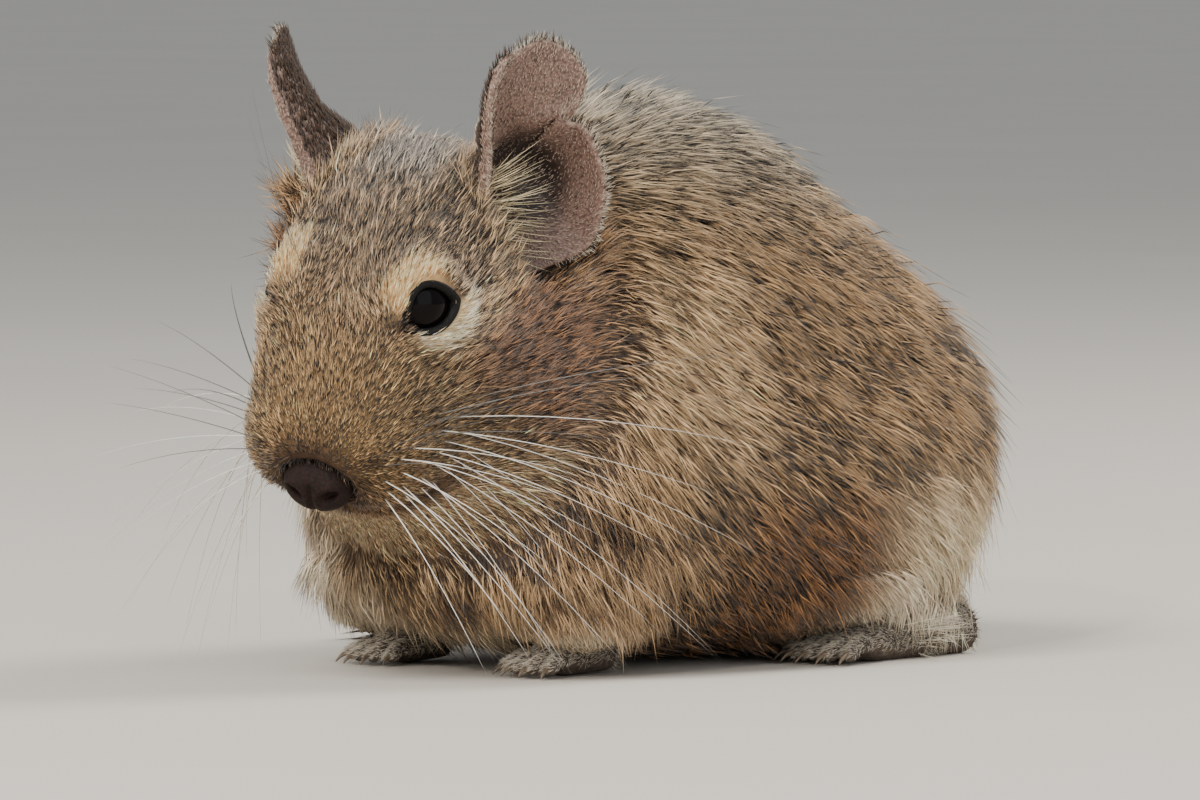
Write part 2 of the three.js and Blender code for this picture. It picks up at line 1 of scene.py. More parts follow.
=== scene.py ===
# The looks of a life-size degu: one skin, a coat of hairs along the lie of its fur, ears, eyes and whiskers.
# Lengths are millimetres in the animal's own frame, nose to -Y and its left to +X, until to_frame moves them.
import math

import bmesh
import bpy
import numpy as np
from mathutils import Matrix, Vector
from mathutils.bvhtree import BVHTree


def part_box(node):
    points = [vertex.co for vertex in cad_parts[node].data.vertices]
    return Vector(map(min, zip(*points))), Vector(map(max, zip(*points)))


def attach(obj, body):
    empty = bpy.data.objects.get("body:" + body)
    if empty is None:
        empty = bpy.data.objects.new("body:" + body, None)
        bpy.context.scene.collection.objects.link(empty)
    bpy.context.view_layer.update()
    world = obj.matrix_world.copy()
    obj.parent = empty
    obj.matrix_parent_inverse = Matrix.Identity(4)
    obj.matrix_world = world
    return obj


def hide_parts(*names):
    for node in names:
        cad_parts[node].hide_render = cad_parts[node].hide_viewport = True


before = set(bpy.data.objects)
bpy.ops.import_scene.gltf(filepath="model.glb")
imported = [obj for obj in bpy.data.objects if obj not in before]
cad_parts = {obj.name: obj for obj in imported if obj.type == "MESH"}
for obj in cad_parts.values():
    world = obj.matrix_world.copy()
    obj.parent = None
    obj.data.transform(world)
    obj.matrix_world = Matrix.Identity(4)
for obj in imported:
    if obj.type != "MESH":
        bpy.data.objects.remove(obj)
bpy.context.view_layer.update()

# Driving dimensions, as in the solids, but the right eye and the tip of the tail lie a little closer in
MM = 0.001
SIDES = (1, -1)
HEAD_AT = np.array([3, -48, 55.4])
HEAD_TURN, HEAD_PITCH, HEAD_ROLL = (math.radians(a) for a in (13.5, 46, 12))
EYE_RADIUS = 4.3
EYE_AT = {1: np.array([9.5, -12, 8]), -1: np.array([-7.5, -11.6, 8])}
EYE_OUT = {1: np.array([0.78, -0.42, 0.46]), -1: np.array([-0.93, -0.06, 0.36])}
LIDS = {"width": 7.5, "above": 4.1, "below": 2.1, "drop": 1.1, "slant": math.radians(-22)}
NOSE_AT = np.array([0, -32.6, -7.6])
NOSE_HALF = np.array([5.1, 2.9, 4.0])
EAR_BASE = np.array([14.8, 9, 3])
EAR_SWING = math.radians(57)
EARS = {
    "ear_left": {"side": 1, "out": 0.25, "ahead": 0.16, "sink": 0, "notch": 0},
    "ear_right": {"side": -1, "out": 0.2, "ahead": 0.19, "sink": 3.5, "notch": 2.2},
}
EAR_OUTLINE = [
    (-2.7, -3.2), (-5.8, 2.4), (-6.4, 8.1), (-7.5, 15.7), (-6.6, 21), (-3.4, 23.7), (0.4, 24.7),
    (4.1, 22.9), (6.2, 20.3), (6.4, 17.5), (4.9, 15.8), (3.7, 14.3), (5.4, 13.2), (7, 12.9), (8.9, 9.8),
    (10.4, 5.3), (10.4, 1), (9.4, -3.7), (5.6, -6.6), (0.7, -8.2),
]
EAR_NOTCH_AT = (10, 11, 12)
EAR_DEEP_POINT = np.array([1.8, 4])
EAR_CUP_DEPTH = 7.5
EAR_THICKNESS = 0.8
TAIL_ROUTE = [
    (0, 46, 10), (-0.5, 57, 5.6), (-4, 65, 4), (-14, 73, 3.5), (-28, 75, 3.2), (-41, 68, 3), (-49, 54, 2.8),
    (-53, 38, 2.6), (-52.6, 20, 2.4), (-48.5, 5, 2.3),
]
TAIL_RADII = {0: 5.2, 0.08: 4.4, 0.3: 3.1, 0.8: 2.0, 1: 1.7}
FOREPAW = {
    "heel": (16, -24.5, 4.2), "ball": (15.5, -30.5, 2.5), "half": (4, 4.4, 2.9),
    "digits": 4, "spread": 34, "length": 5.6, "radius": 1.15, "claw": 1.8,
}
HINDFOOT = {
    "heel": (24, 36, 4), "ball": (25.5, 17, 2.6), "half": (4.9, 6, 3.1),
    "digits": 5, "spread": 38, "length": 7.6, "radius": 1.3, "claw": 2.4,
}
DIGIT_SWELL = {0: 1.05, 0.35: 0.95, 0.5: 1.12, 0.68: 0.84, 0.82: 0.98, 0.93: 0.9, 1: 0.45}

# Skin, lids and coat
VOXEL = 0.72
FOOT_VOXEL = 0.3
SEAM_OVERLAP = 0.3
FLOOR_GAP = 0.1
LEVEL_SOLE = 0.02
SKIN_DEPTH = {"body": 3.6, "head": 1.9, "least": 0.15}
SOCKET = {"depth": 0.9, "thinner": 0.8, "cover": 0.25, "edge": 0.1, "reach": 2.6}
LID_RIM = {"inside": 0.45, "outside": 0.6, "corner": 0.4, "rise": 0.4, "clear": 0.15, "seat": 0.05}
HAIR_LENGTH = {"body": 9.0, "head": 6.2, "tail": 3.2}
HAIR_WIDTH = {"body": 0.21, "head": 0.155, "tail": 0.2}
HAIR_RISE = {"body": 25, "head": 21}
UNDER_HAIR = {"length": 0.8, "width": 0.85}
GUARD_HAIR = {"length": 1.0, "width": 1.05, "strays": 0.05, "stray_length": 1.3}
EAR_HAIRS = 7000
EAR_TUFT_HAIRS = 135
EAR_RIM_HAIRS = 900
FOOT_HAIRS = 34000
BRUSH_HAIRS = 1500
UV_PATCH = 0.003

# Whiskers
WHISKER_STEPS = np.linspace(0, 1, 9)
WHISKER_LOW = np.array([-57.5, -87.5, 1])
WHISKER_HIGH = np.array([40, 60, 90])
WHISKER_LONGEST = 50
WHISKER_WIDTH = 0.27
BROW_WIDTH = 0.14

# Camera and body parts
CAMERA = {"azimuth": 46, "elevation": 3, "target": (-4.1, -4.2, 35.3), "distance": 1400, "pixels_per_mm": 7.3}
IMAGE_WIDTH = 1200
SENSOR = 36
FLESH = ["head", "neck", "torso", "foreleg_left", "foreleg_right", "hindleg_left", "hindleg_right"]
FEET = ["forepaw_left", "forepaw_right", "hindfoot_left", "hindfoot_right"]
rng = np.random.default_rng(361)


# Frames
def turn_z(a):
    return np.array([[math.cos(a), -math.sin(a), 0], [math.sin(a), math.cos(a), 0], [0, 0, 1]])


def turn_x(a):
    return np.array([[1, 0, 0], [0, math.cos(a), -math.sin(a)], [0, math.sin(a), math.cos(a)]])


def turn_y(a):
    return np.array([[math.cos(a), 0, math.sin(a)], [0, 1, 0], [-math.sin(a), 0, math.cos(a)]])


HEAD = turn_z(HEAD_TURN) @ turn_x(HEAD_PITCH) @ turn_y(HEAD_ROLL)


def from_head(local):
    return np.asarray(local, float) @ HEAD.T + HEAD_AT


def to_head(points):
    return (points - HEAD_AT) @ HEAD


eye_low, eye_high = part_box("eye_left")
SHIFT = np.array((eye_low + eye_high) / 2) / MM - from_head(EYE_AT[1])
SHIFT[2] = 0


def to_frame(points):
    return (np.asarray(points, float) + SHIFT) * MM


def unit(vectors):
    return vectors / np.maximum(np.linalg.norm(vectors, axis=-1, keepdims=True), 1e-9)


def ramp(x, low, high):
    t = np.clip((x - low) / (high - low), 0, 1)
    return t * t * (3 - 2 * t)


def mixed(a, b, share):
    return a + (b - a) * np.asarray(share)[..., None]


def value_noise(points, size, seed):
    """Smooth noise from 0 to 1 in space, one lattice cell to each size."""
    p = points / size + 100 + seed * 7.3
    cell = np.floor(p).astype(np.int64)
    f = p - cell
    f = f * f * (3 - 2 * f)
    total = np.zeros(len(points))
    for corner in range(8):
        step = np.array([corner & 1, corner >> 1 & 1, corner >> 2 & 1])
        key = (cell + step) @ np.array([73856093, 19349663, 83492791]) + seed * 2654435761
        key = (key ^ (key >> 13)) * 1274126177 & 0x7FFFFFFF
        weight = np.prod(np.where(step, f, 1 - f), axis=1)
        total += weight * ((key ^ (key >> 16)) % 65536) / 65535
    return total


def smooth_route(points, count):
    """Points at even spacing along a Catmull-Rom curve."""
    p = np.array(points, float)
    p = np.vstack([2 * p[0] - p[1], p, 2 * p[-1] - p[-2]])
    dense = []
    for a, b, c, d in zip(p, p[1:], p[2:], p[3:]):
        for t in np.linspace(0, 1, 24, endpoint=False):
            bend = (2 * a - 5 * b + 4 * c - d) * t**2 + (3 * b - a - 3 * c + d) * t**3
            dense.append(0.5 * (2 * b + (c - a) * t + bend))
    dense = np.array(dense + [p[-2]])
    reach = np.concatenate([[0], np.cumsum(np.linalg.norm(np.diff(dense, axis=0), axis=1))])
    at = np.linspace(0, reach[-1], count)
    return np.stack([np.interp(at, reach, dense[:, i]) for i in range(3)], axis=1)


# Colours
def shade(hexcode):
    srgb = np.array([int(hexcode[i:i + 2], 16) / 255 for i in (1, 3, 5)])
    return np.where(srgb <= 0.04045, srgb / 12.92, ((srgb + 0.055) / 1.055) ** 2.4)


def rgba(hexcode):
    return (*shade(hexcode), 1)


# Objects
def place(name, mesh, finish, nodes=()):
    """A finished piece, in the frame, that rides on the body."""
    piece = bpy.data.objects.new(name, mesh)
    bpy.context.scene.collection.objects.link(piece)
    mesh.materials.clear()
    mesh.materials.append(finish)
    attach(piece, "root")
    if nodes:
        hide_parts(*nodes)
    return piece


def mesh_of(bm, name):
    mesh = bpy.data.meshes.new(name)
    bm.normal_update()
    bm.to_mesh(mesh)
    bm.free()
    return made_smooth(mesh)


def points_of(mesh):
    co = np.empty(len(mesh.vertices) * 3)
    mesh.vertices.foreach_get("co", co)
    return co.reshape(-1, 3) / MM - SHIFT


def set_points(mesh, points):
    mesh.vertices.foreach_set("co", to_frame(points).ravel())
    mesh.update()


def normals_of(mesh):
    n = np.empty(len(mesh.vertices) * 3)
    mesh.vertices.foreach_get("normal", n)
    return n.reshape(-1, 3)


def baked(obj, name):
    """The mesh of an object with its modifiers applied; the object goes."""
    bpy.context.view_layer.update()
    mesh = bpy.data.meshes.new_from_object(obj.evaluated_get(bpy.context.evaluated_depsgraph_get()))
    mesh.name = name
    bpy.data.objects.remove(obj)
    return mesh


def evened(bm, voxel, name):
    """One closed surface at an even grain from bodies that overlap."""
    source = bpy.data.objects.new(f"{name}_source", mesh_of(bm, f"{name}_source"))
    bpy.context.scene.collection.objects.link(source)
    remesh = source.modifiers.new("even", "REMESH")
    remesh.mode = "VOXEL"
    remesh.voxel_size = voxel * MM
    return baked(source, name)


def made_smooth(mesh):
    mesh.polygons.foreach_set("use_smooth", np.ones(len(mesh.polygons), bool))
    return mesh


def part_mesh(bm, whole):
    """Adds one body to a whole that is built up from several."""
    part = mesh_of(bm, "part")
    whole.from_mesh(part)
    bpy.data.meshes.remove(part)


def put_attribute(mesh, name, kind, values):
    layer = mesh.attributes.new(name, kind, "POINT")
    if kind == "FLOAT":
        layer.data.foreach_set("value", values.astype(np.float32))
    else:
        full = np.ones((len(values), 4), np.float32)
        full[:, :3] = values
        layer.data.foreach_set("color", full.ravel())


# Places on the animal
def around_head(points):
    """1 on the head and 0 on the body, over the nape and throat."""
    reach = np.linalg.norm(to_head(points) - np.array([0, -9, -3]), axis=1)
    return 1 - ramp(reach, 25, 34)


def eye_axes(side):
    out = unit(EYE_OUT[side])
    across = np.array([0, math.cos(LIDS["slant"]), math.sin(LIDS["slant"])])
    across = unit(across - out * (across @ out)) * side
    return across, np.cross(out, across), out


def lid_outline(side, count):
    """Points round the almond opening, as distances across and up from the eye's axis."""
    half, drop = LIDS["width"] / 2, LIDS["drop"]
    t = np.linspace(0, 1, count // 2, endpoint=False)

    def arc(x0, x1, x2, x3, height):
        b = [(1 - t) ** 3, 3 * t * (1 - t) ** 2, 3 * t**2 * (1 - t), t**3]
        along = b[0] * x0 + b[1] * x1 + b[2] * x2 + b[3] * x3
        return np.stack([along, (b[1] + b[2]) * height - drop], axis=1)

    upper = arc(-half, -half * 0.6, half * 0.65, half, LIDS["above"] * 1.33)
    lower = arc(half, half * 0.6, -half * 0.5, -half, -LIDS["below"] * 1.33)
    outline = np.vstack([upper, lower])
    outline[:, 0] *= side
    return outline


def past_lids(points, side):
    """How far past the edge of an eye's opening each point lies, seen along the eye's axis."""
    across, up, out = eye_axes(side)
    away = to_head(points) - EYE_AT[side]
    outline = lid_outline(side, 56)
    centre = outline.mean(axis=0)
    ray = outline - centre
    angles = np.arctan2(ray[:, 1], ray[:, 0])
    order = np.argsort(angles)
    spot = np.stack([away @ across, away @ up], axis=1) - centre
    turn = np.arctan2(spot[:, 1], spot[:, 0])
    edge = np.interp(turn, angles[order], np.linalg.norm(ray, axis=1)[order], period=2 * math.pi)
    near = (unit(away) @ out > 0.1) & (np.linalg.norm(away, axis=1) < 12)
    return np.where(near, np.linalg.norm(spot, axis=1) - edge, 20), spot


def eye_distance(points):
    local = to_head(points)
    return np.minimum(*(np.linalg.norm(local - EYE_AT[side], axis=1) for side in SIDES))


def over_feet(points):
    """1 where the coat stands over a forepaw or over the toes of a hind foot."""
    x, y, z = np.abs(points[:, 0]), points[:, 1], points[:, 2]
    fore = (1 - ramp(z, 14, 17)) * (1 - ramp(y, -27, -24)) * (1 - ramp(np.abs(x - 15.5), 8, 10))
    hind = (1 - ramp(z, 11, 14)) * ramp(y, -2, 1) * (1 - ramp(y, 17, 20))
    hind = hind * (1 - ramp(np.abs(x - 26.5), 8, 10))
    return np.maximum(fore, hind)


tail_line = smooth_route(TAIL_ROUTE, 160)
tail_way = unit(np.gradient(tail_line, axis=0))


def tail_radius(share):
    return np.interp(share, list(TAIL_RADII), list(TAIL_RADII.values()))


def near_tail(points):
    """Distance to the tail's line, and the share of its length."""
    nearest = np.full(len(points), 1e9)
    share = np.zeros(len(points))
    for i in range(0, len(tail_line), 2):
        d = np.linalg.norm(points - tail_line[i], axis=1)
        share = np.where(d < nearest, i / (len(tail_line) - 1), share)
        nearest = np.minimum(nearest, d)
    return nearest, share


def on_tail(points):
    distance, share = near_tail(points)
    return (1 - ramp(distance, 5.5, 8)) * ramp(share, 0.03, 0.1), share


def pad_root(side, row, column):
    """Where a whisker stands on the pad beside the nose, in the head's own frame."""
    return np.array([side * (7.4 + 1.0 * column), -30.4 + 1.75 * column, -3.6 - 1.5 * row + 0.25 * column])


PAD_DOTS = from_head([
    pad_root(side, row, column) for side in SIDES for row in range(3) for column in range(5)
])


# Markings: the light band and the dark of the hairs at each place
def markings(points):
    x, y, z = points.T
    local = to_head(points)
    lx, ly, lz = np.abs(local[:, 0]), local[:, 1], local[:, 2]
    n1, n2, n3 = value_noise(points, 8, 1), value_noise(points, 3.0, 2), value_noise(points, 1.5, 3)
    band = np.tile(shade("#cba577"), (len(points), 1))
    dark = np.tile(shade("#231b16"), (len(points), 1))
    amount = 0.54 + 0.4 * (n1 - 0.5) + 0.8 * (n2 - 0.5) + 0.7 * (n3 - 0.5)

    def paint(light, deep, share, much=None):
        nonlocal band, dark, amount
        band = mixed(band, shade(light), share)
        dark = mixed(dark, shade(deep), share)
        if much is not None:
            amount = amount + (much + 0.5 * (n2 - 0.5) + 0.4 * (n3 - 0.5) - amount) * share

    # Body: greyer along the spine, partly the coat's own grey and partly painted cool skylight on the top;
    # warmer low on the flanks; pale beneath and at the chest, with the chest painted paler on its far side
    # where light falls on it
    # Partly painted light: the top of the back is painted greyer, partly the coat's grey and partly the cool
    # light from the sky falling on it
    paint("#cdbda2", "#24211d", ramp(z, 56, 76), 0.55)
    ruff = ramp(-y, 4, 16) * ramp(z, 24, 36) * (1 - ramp(z, 50, 64)) * ramp(x, 6, 16)
    paint("#efcb9c", "#503a29", ruff, 0.32)
    paint("#a3713f", "#2a1a10", ramp(32 - z, 0, 12) * (1 - ramp(y, 8, 22)) * ramp(y, -24, -8), 0.5)
    paint("#ffe8c4", "#bfa587", ramp(33 - z, 0, 12) * ramp(y, 4, 20), 0.04)
    paint("#f6e8d0", "#cdb79b", ramp(19 - z, 0, 9) * ramp(y, 4, 16), 0.02)
    chest = ramp(-y, 18, 34) * (1 - ramp(z, 30, 44))
    paint("#dcb78a", "#5a4330", chest * 0.9, 0.2)
    bars = np.exp(-(((z - 25 + 2.5 * np.sin(x * 0.25)) / 2.4) ** 2))
    bars = bars + 0.9 * np.exp(-(((z - 15 + 2 * np.sin(x * 0.3)) / 2.0) ** 2))
    paint("#6d4c2e", "#20150e", chest * np.clip(bars, 0, 1) * ramp(n2, 0.25, 0.5), 0.9)
    # Partly painted light: the chest is pale, and is painted paler still on the far side only, where light
    # from that side falls on it
    pale = chest * ramp(-y, 27, 36) * (1 - ramp(x, -14, 0))
    paint("#f0e2c8", "#bfa98c", pale * (1 - 0.7 * np.clip(bars, 0, 1)), 0.08)
    paint("#e2d2b4", "#a08a6e", chest * ramp(12 - z, 0, 6), 0.1)
    # Head
    head = around_head(points)
    paint("#dbb383", "#20160f", head, 0.52)
    forehead = head * ramp(lz, 2, 8) * ramp(ly, -24, -14)
    paint("#c8a680", "#1d1713", forehead * 0.9, 0.52)
    crown = head * ramp(ly, -3, 6) * ramp(lz, 5, 10) * (1 - ramp(lx, 3, 8))
    paint("#b5aea3", "#25272c", crown * 0.75, 0.5)
    cheek = head * ramp(ly, -22, -12) * (1 - ramp(lz, -1, 4)) * ramp(lx, 6, 11)
    paint("#9a6a40", "#24160e", cheek * 0.95, 0.58)
    behind = head * ramp(ly, -2, 6) * (1 - ramp(lz, 0, 6)) * ramp(lx, 9, 14)
    paint("#b58c60", "#34261b", behind * 0.9, 0.42)
    muzzle = head * (1 - ramp(ly, -25, -17)) * ramp(lz, -12, -8)
    paint("#c39c69", "#21170f", muzzle * 0.9, 0.52)
    around_nose = np.exp(-((np.linalg.norm(local - NOSE_AT, axis=1) / 7.2) ** 6))
    paint("#54382a", "#1f1410", around_nose, 0.8)
    throat = head * (1 - ramp(lz, -15, -12)) * (1 - ramp(ly, 0, 8))
    paint("#ecca9c", "#7b5b3e", throat, 0.14)
    lips = head * np.exp(-(((lz - mouth_height(ly)) / 1.5) ** 2)) * (1 - ramp(ly, -26, -22))
    paint("#4a2a1e", "#241310", lips, 0.7)
    dots = np.min(np.linalg.norm(points[:, None] - PAD_DOTS[None], axis=2), axis=1)
    paint("#3a2a1e", "#140d0a", head * np.exp(-((dots / 1.2) ** 4)), 0.97)
    for side in SIDES:
        past, spot = past_lids(points, side)
        over = spot[:, 1]
        close = (past < 19) * 1.0
        back = side * spot[:, 0]
        brow = close * (1 - ramp(past, 3, 5.4)) * ramp(over, 0.5, 1.6)
        brow = brow * (1 - ramp(np.abs(back + 0.8), 3.2, 5))
        paint("#ffdba4", "#d6a468", brow, 0.02)
        under = close * (1 - ramp(past, 2.2, 3.6)) * (1 - ramp(over, -1.6, -0.5)) * ramp(back, -4.6, -3.2)
        paint("#ffecc4", "#e0bf8e", under, 0.02)
        line = close * np.exp(-(((over + 0.6) / 0.8) ** 2)) * (1 - ramp(past, 2.4, 4.4))
        paint("#4a382e", "#1c1512", line * 0.8 * ramp(-back, -1, 1), 0.8)
    ears = head * np.exp(-(((lx - 14.5) / 5.0) ** 2) - ((ly - 6.5) / 5.5) ** 2) * ramp(lz, 1, 5)
    paint("#d6b888", "#5c432b", ears * 0.8, 0.3)
    # Tail
    tail, share = on_tail(points)
    paint("#8f7657", "#33271f", tail, 0.5)
    paint("#3b2f26", "#14100d", tail * ramp(share, 0.45, 0.8), 0.85)
    return band, dark, np.clip(amount, 0.02, 0.98)


# The lie of the coat, its length, its rise off the skin and the width of its hairs
def lie_of_coat(points, normals):
    x, y, z = points.T
    local = to_head(points)
    ones = np.ones(len(points))
    side = np.abs(normals[:, 0])
    body = np.stack([0.1 * np.sign(x) * side, ones, -0.3 - 0.75 * side - 1.0 * ramp(y, 18, 48)], axis=1)
    chest = ramp(-y, 14, 32) * (1 - ramp(z, 34, 48))
    body = mixed(body, np.stack([0.12 * np.sign(x), 0.3 * ones, -ones], axis=1), chest)
    low = 1 - ramp(z, 6, 20)
    body = mixed(body, np.stack([0.15 * np.sign(x), 0.45 * ones, -ones], axis=1), low * 0.7)
    fringe = (1 - ramp(z, 12, 18)) * ramp(y, 14, 22)
    body = mixed(body, np.stack([0.5 * np.sign(x), 0.1 * ones, -ones], axis=1), fringe)
    lx = local[:, 0]
    head = np.stack([0.03 * lx, ones, 0.12 - 0.5 * (1 - ramp(local[:, 2], -8, 3))], axis=1)
    under_chin = 1 - ramp(local[:, 2], -17, -11)
    head = mixed(head, np.stack([0.05 * lx, 0.7 * ones, -0.8 * ones], axis=1), under_chin)
    for side_sign in SIDES:
        away = local - EYE_AT[side_sign]
        near = np.exp(-((np.linalg.norm(away, axis=1) / 7.0) ** 4))
        head = mixed(head, head + 1.2 * unit(away), near)
    flow = mixed(body, head @ HEAD.T, around_head(points))
    tail, share = on_tail(points)
    way = tail_way[(share * (len(tail_way) - 1)).astype(int)]
    return mixed(flow, way, tail)


def coat_form(points):
    """Length of the hairs in millimetres, their rise in degrees and their width in millimetres."""
    _, y, z = points.T
    local = to_head(points)
    head = around_head(points)
    shorter_below = 2.2 * (1 - ramp(z, 5, 16)) * (1 - ramp(head, 0.2, 0.6))
    length = HAIR_LENGTH["body"] + 1.5 * ramp(y, 10, 45) - shorter_below
    face = 1 - ramp(local[:, 1], -14, 4)
    length = length + 2.5 * (1 - ramp(z, 10, 16)) * ramp(y, 14, 22) * (1 - head)
    head_length = HAIR_LENGTH["head"] - 2.2 * face - 1.7 * (1 - ramp(local[:, 1], -30, -18))
    length = length + (head_length - length) * head
    rise = HAIR_RISE["body"] + (HAIR_RISE["head"] - HAIR_RISE["body"]) * head
    rise = rise + 6 * head * (1 - ramp(local[:, 1], -32, -26))
    width = HAIR_WIDTH["body"] + (HAIR_WIDTH["head"] - 0.035 * face - HAIR_WIDTH["body"]) * head
    length = length * (1 - 0.5 * np.exp(-((eye_distance(points) / 6.8) ** 6)))
    room = np.clip((z - 3.8) * 0.9, 1.4, 12)
    length = np.where(over_feet(points) > 0.3, np.minimum(length, room), length)
    tail, share = on_tail(points)
    length = length + (HAIR_LENGTH["tail"] + 6.0 * ramp(share, 0.45, 0.9) - length) * tail
    width = width + (HAIR_WIDTH["tail"] - width) * tail
    return length, rise, width


def coat_depth(points):
    """How far the skin lies inside the tips of the coat."""
    local = to_head(points)
    head = around_head(points)
    depth = SKIN_DEPTH["body"]
    head_depth = SKIN_DEPTH["head"] - 0.9 * (1 - ramp(local[:, 1], -16, 2))
    head_depth = head_depth - 0.3 * (1 - ramp(local[:, 1], -30, -20))
    depth = depth + (head_depth - depth) * head
    depth = depth * ramp(eye_distance(points), 5.2, 8.5)
    low = 1 - ramp(points[:, 2], 3, 12)
    return depth * (1 - 0.35 * low) * (1 - 0.5 * over_feet(points)) + SKIN_DEPTH["least"]


# Skin
def ring_edges(ring):
    return list({edge for vert in ring for edge in vert.link_edges})


def round_bar(line, radii, sides):
    """A closed round bar along a line, each ring set square to it."""
    bm = bmesh.new()
    rings = []
    for centre, along, radius in zip(line, unit(np.gradient(line, axis=0)), radii):
        square = Vector(along).to_track_quat("Z", "Y").to_matrix().to_4x4()
        square.translation = Vector(to_frame(centre))
        rings.append(bmesh.ops.create_circle(bm, segments=sides, radius=radius * MM, matrix=square)["verts"])
    loops = [ring_edges(ring) for ring in rings]
    for a, b in zip(loops, loops[1:]):
        bmesh.ops.bridge_loops(bm, edges=a + b)
    bmesh.ops.holes_fill(bm, edges=bm.edges, sides=sides)
    bmesh.ops.recalc_face_normals(bm, faces=bm.faces)
    return bm


def neighbours_mean(points, edges, count):
    total = np.empty_like(points)
    ends = np.concatenate([edges[:, 0], edges[:, 1]])
    others = np.concatenate([edges[:, 1], edges[:, 0]])
    for i in range(3):
        total[:, i] = np.bincount(ends, points[others, i], len(points))
    return total / count[:, None]


def smoothed(mesh, passes):
    """Evens the surface; passes gives how many rounds each point takes part in."""
    points = points_of(mesh)
    edges = np.empty(len(mesh.edges) * 2, np.int32)
    mesh.edges.foreach_get("vertices", edges)
    edges = edges.reshape(-1, 2)
    count = np.maximum(np.bincount(edges.ravel(), minlength=len(points)), 1)
    rounds = passes(points)
    for i in range(int(rounds.max())):
        pull = 0.55 * np.clip(rounds - i, 0, 1)[:, None]
        points = points + pull * (neighbours_mean(points, edges, count) - points)
    set_points(mesh, points)


def smoothing_rounds(points):
    head = around_head(points)
    rounds = 60 + (9 - 60) * head
    rounds = rounds + (2 - rounds) * np.exp(-((eye_distance(points) / 7) ** 4))
    tail, _ = on_tail(points)
    return rounds + (4 - rounds) * tail


def make_skin():
    """Flesh and tail as one surface, drawn in by the depth of the coat, with mouth, creases and sockets."""
    whole = bmesh.new()
    for name in FLESH:
        flesh = bmesh.new()
        flesh.from_mesh(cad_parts[name].data)
        bmesh.ops.remove_doubles(flesh, verts=flesh.verts, dist=1e-6)
        flesh.normal_update()
        for vert in flesh.verts:
            vert.co += vert.normal * SEAM_OVERLAP * MM
        part_mesh(flesh, whole)
    rings = 60
    part_mesh(round_bar(smooth_route(TAIL_ROUTE, rings), tail_radius(np.linspace(0, 1, rings)), 14), whole)
    mesh = evened(whole, VOXEL, "skin")
    smoothed(mesh, smoothing_rounds)
    points, normals = points_of(mesh), normals_of(mesh)
    points = points - normals * coat_depth(points)[:, None]
    points = points + carve(points, normals)
    set_points(mesh, points)
    smoothed(mesh, lambda p: np.full(len(p), 1.0))
    mesh = finer_near_eyes(mesh)
    points = with_sockets(points_of(mesh))
    points[:, 2] = np.maximum(points[:, 2], LEVEL_SOLE)
    set_points(mesh, points)
    return made_smooth(mesh)


def finer_near_eyes(mesh):
    """The skin with its edges cut in three round both eyes, for clean lids."""
    near = eye_distance(points_of(mesh)) < 7
    bm = bmesh.new()
    bm.from_mesh(mesh)
    edges = [edge for edge in bm.edges if all(near[vert.index] for vert in edge.verts)]
    bmesh.ops.subdivide_edges(bm, edges=edges, cuts=2, use_grid_fill=True)
    bmesh.ops.triangulate(bm, faces=[face for face in bm.faces if len(face.verts) > 4])
    return mesh_of(bm, "skin")


def eye_height(flat):
    """How far the eyeball stands out along its axis, at places across and up from it."""
    return np.sqrt(np.maximum(EYE_RADIUS**2 - np.sum(flat**2, axis=1), 0))


def with_sockets(points):
    """The skin sunk behind each eye's opening, and thinned to a lid round it."""
    for side in SIDES:
        across, up, out = eye_axes(side)
        away = to_head(points) - EYE_AT[side]
        past, _ = past_lids(points, side)
        height = away @ out
        ball = eye_height(np.stack([away @ across, away @ up], axis=1))
        thinner = SOCKET["thinner"] * (1 - ramp(past, 0.3, SOCKET["reach"]))
        lid = np.maximum(height - thinner, ball + SOCKET["cover"])
        sunk = np.minimum(height, ball - SOCKET["depth"])
        wanted = np.where(past < SOCKET["edge"], sunk, np.where(past < SOCKET["reach"], lid, height))
        wanted = np.where((past < 15) & (height > 0), wanted, height)
        points = points + np.outer(wanted - height, HEAD @ out)
    return points


def mouth_height(ly):
    """How high the line of the mouth runs at each place along the head."""
    return -12.9 + 1.9 * ramp(ly, -30, -21)


def carve(points, normals):
    """How far the line of the mouth and the groove under the nose sink the skin."""
    local = to_head(points)
    lx, ly, lz = local.T
    line = np.exp(-(((lz - mouth_height(ly)) / 0.75) ** 2))
    line = line * (1 - ramp(ly, -22.5, -20.5)) * ramp(-lz, 8, 10)
    groove = np.exp(-((lx / 0.6) ** 2)) * (1 - ramp(ly, -28, -26))
    groove = groove * (1 - ramp(lz, -9, -8)) * ramp(lz, -14, -13)
    depth = 1.1 * line + 0.7 * groove
    return -normals * depth[:, None]


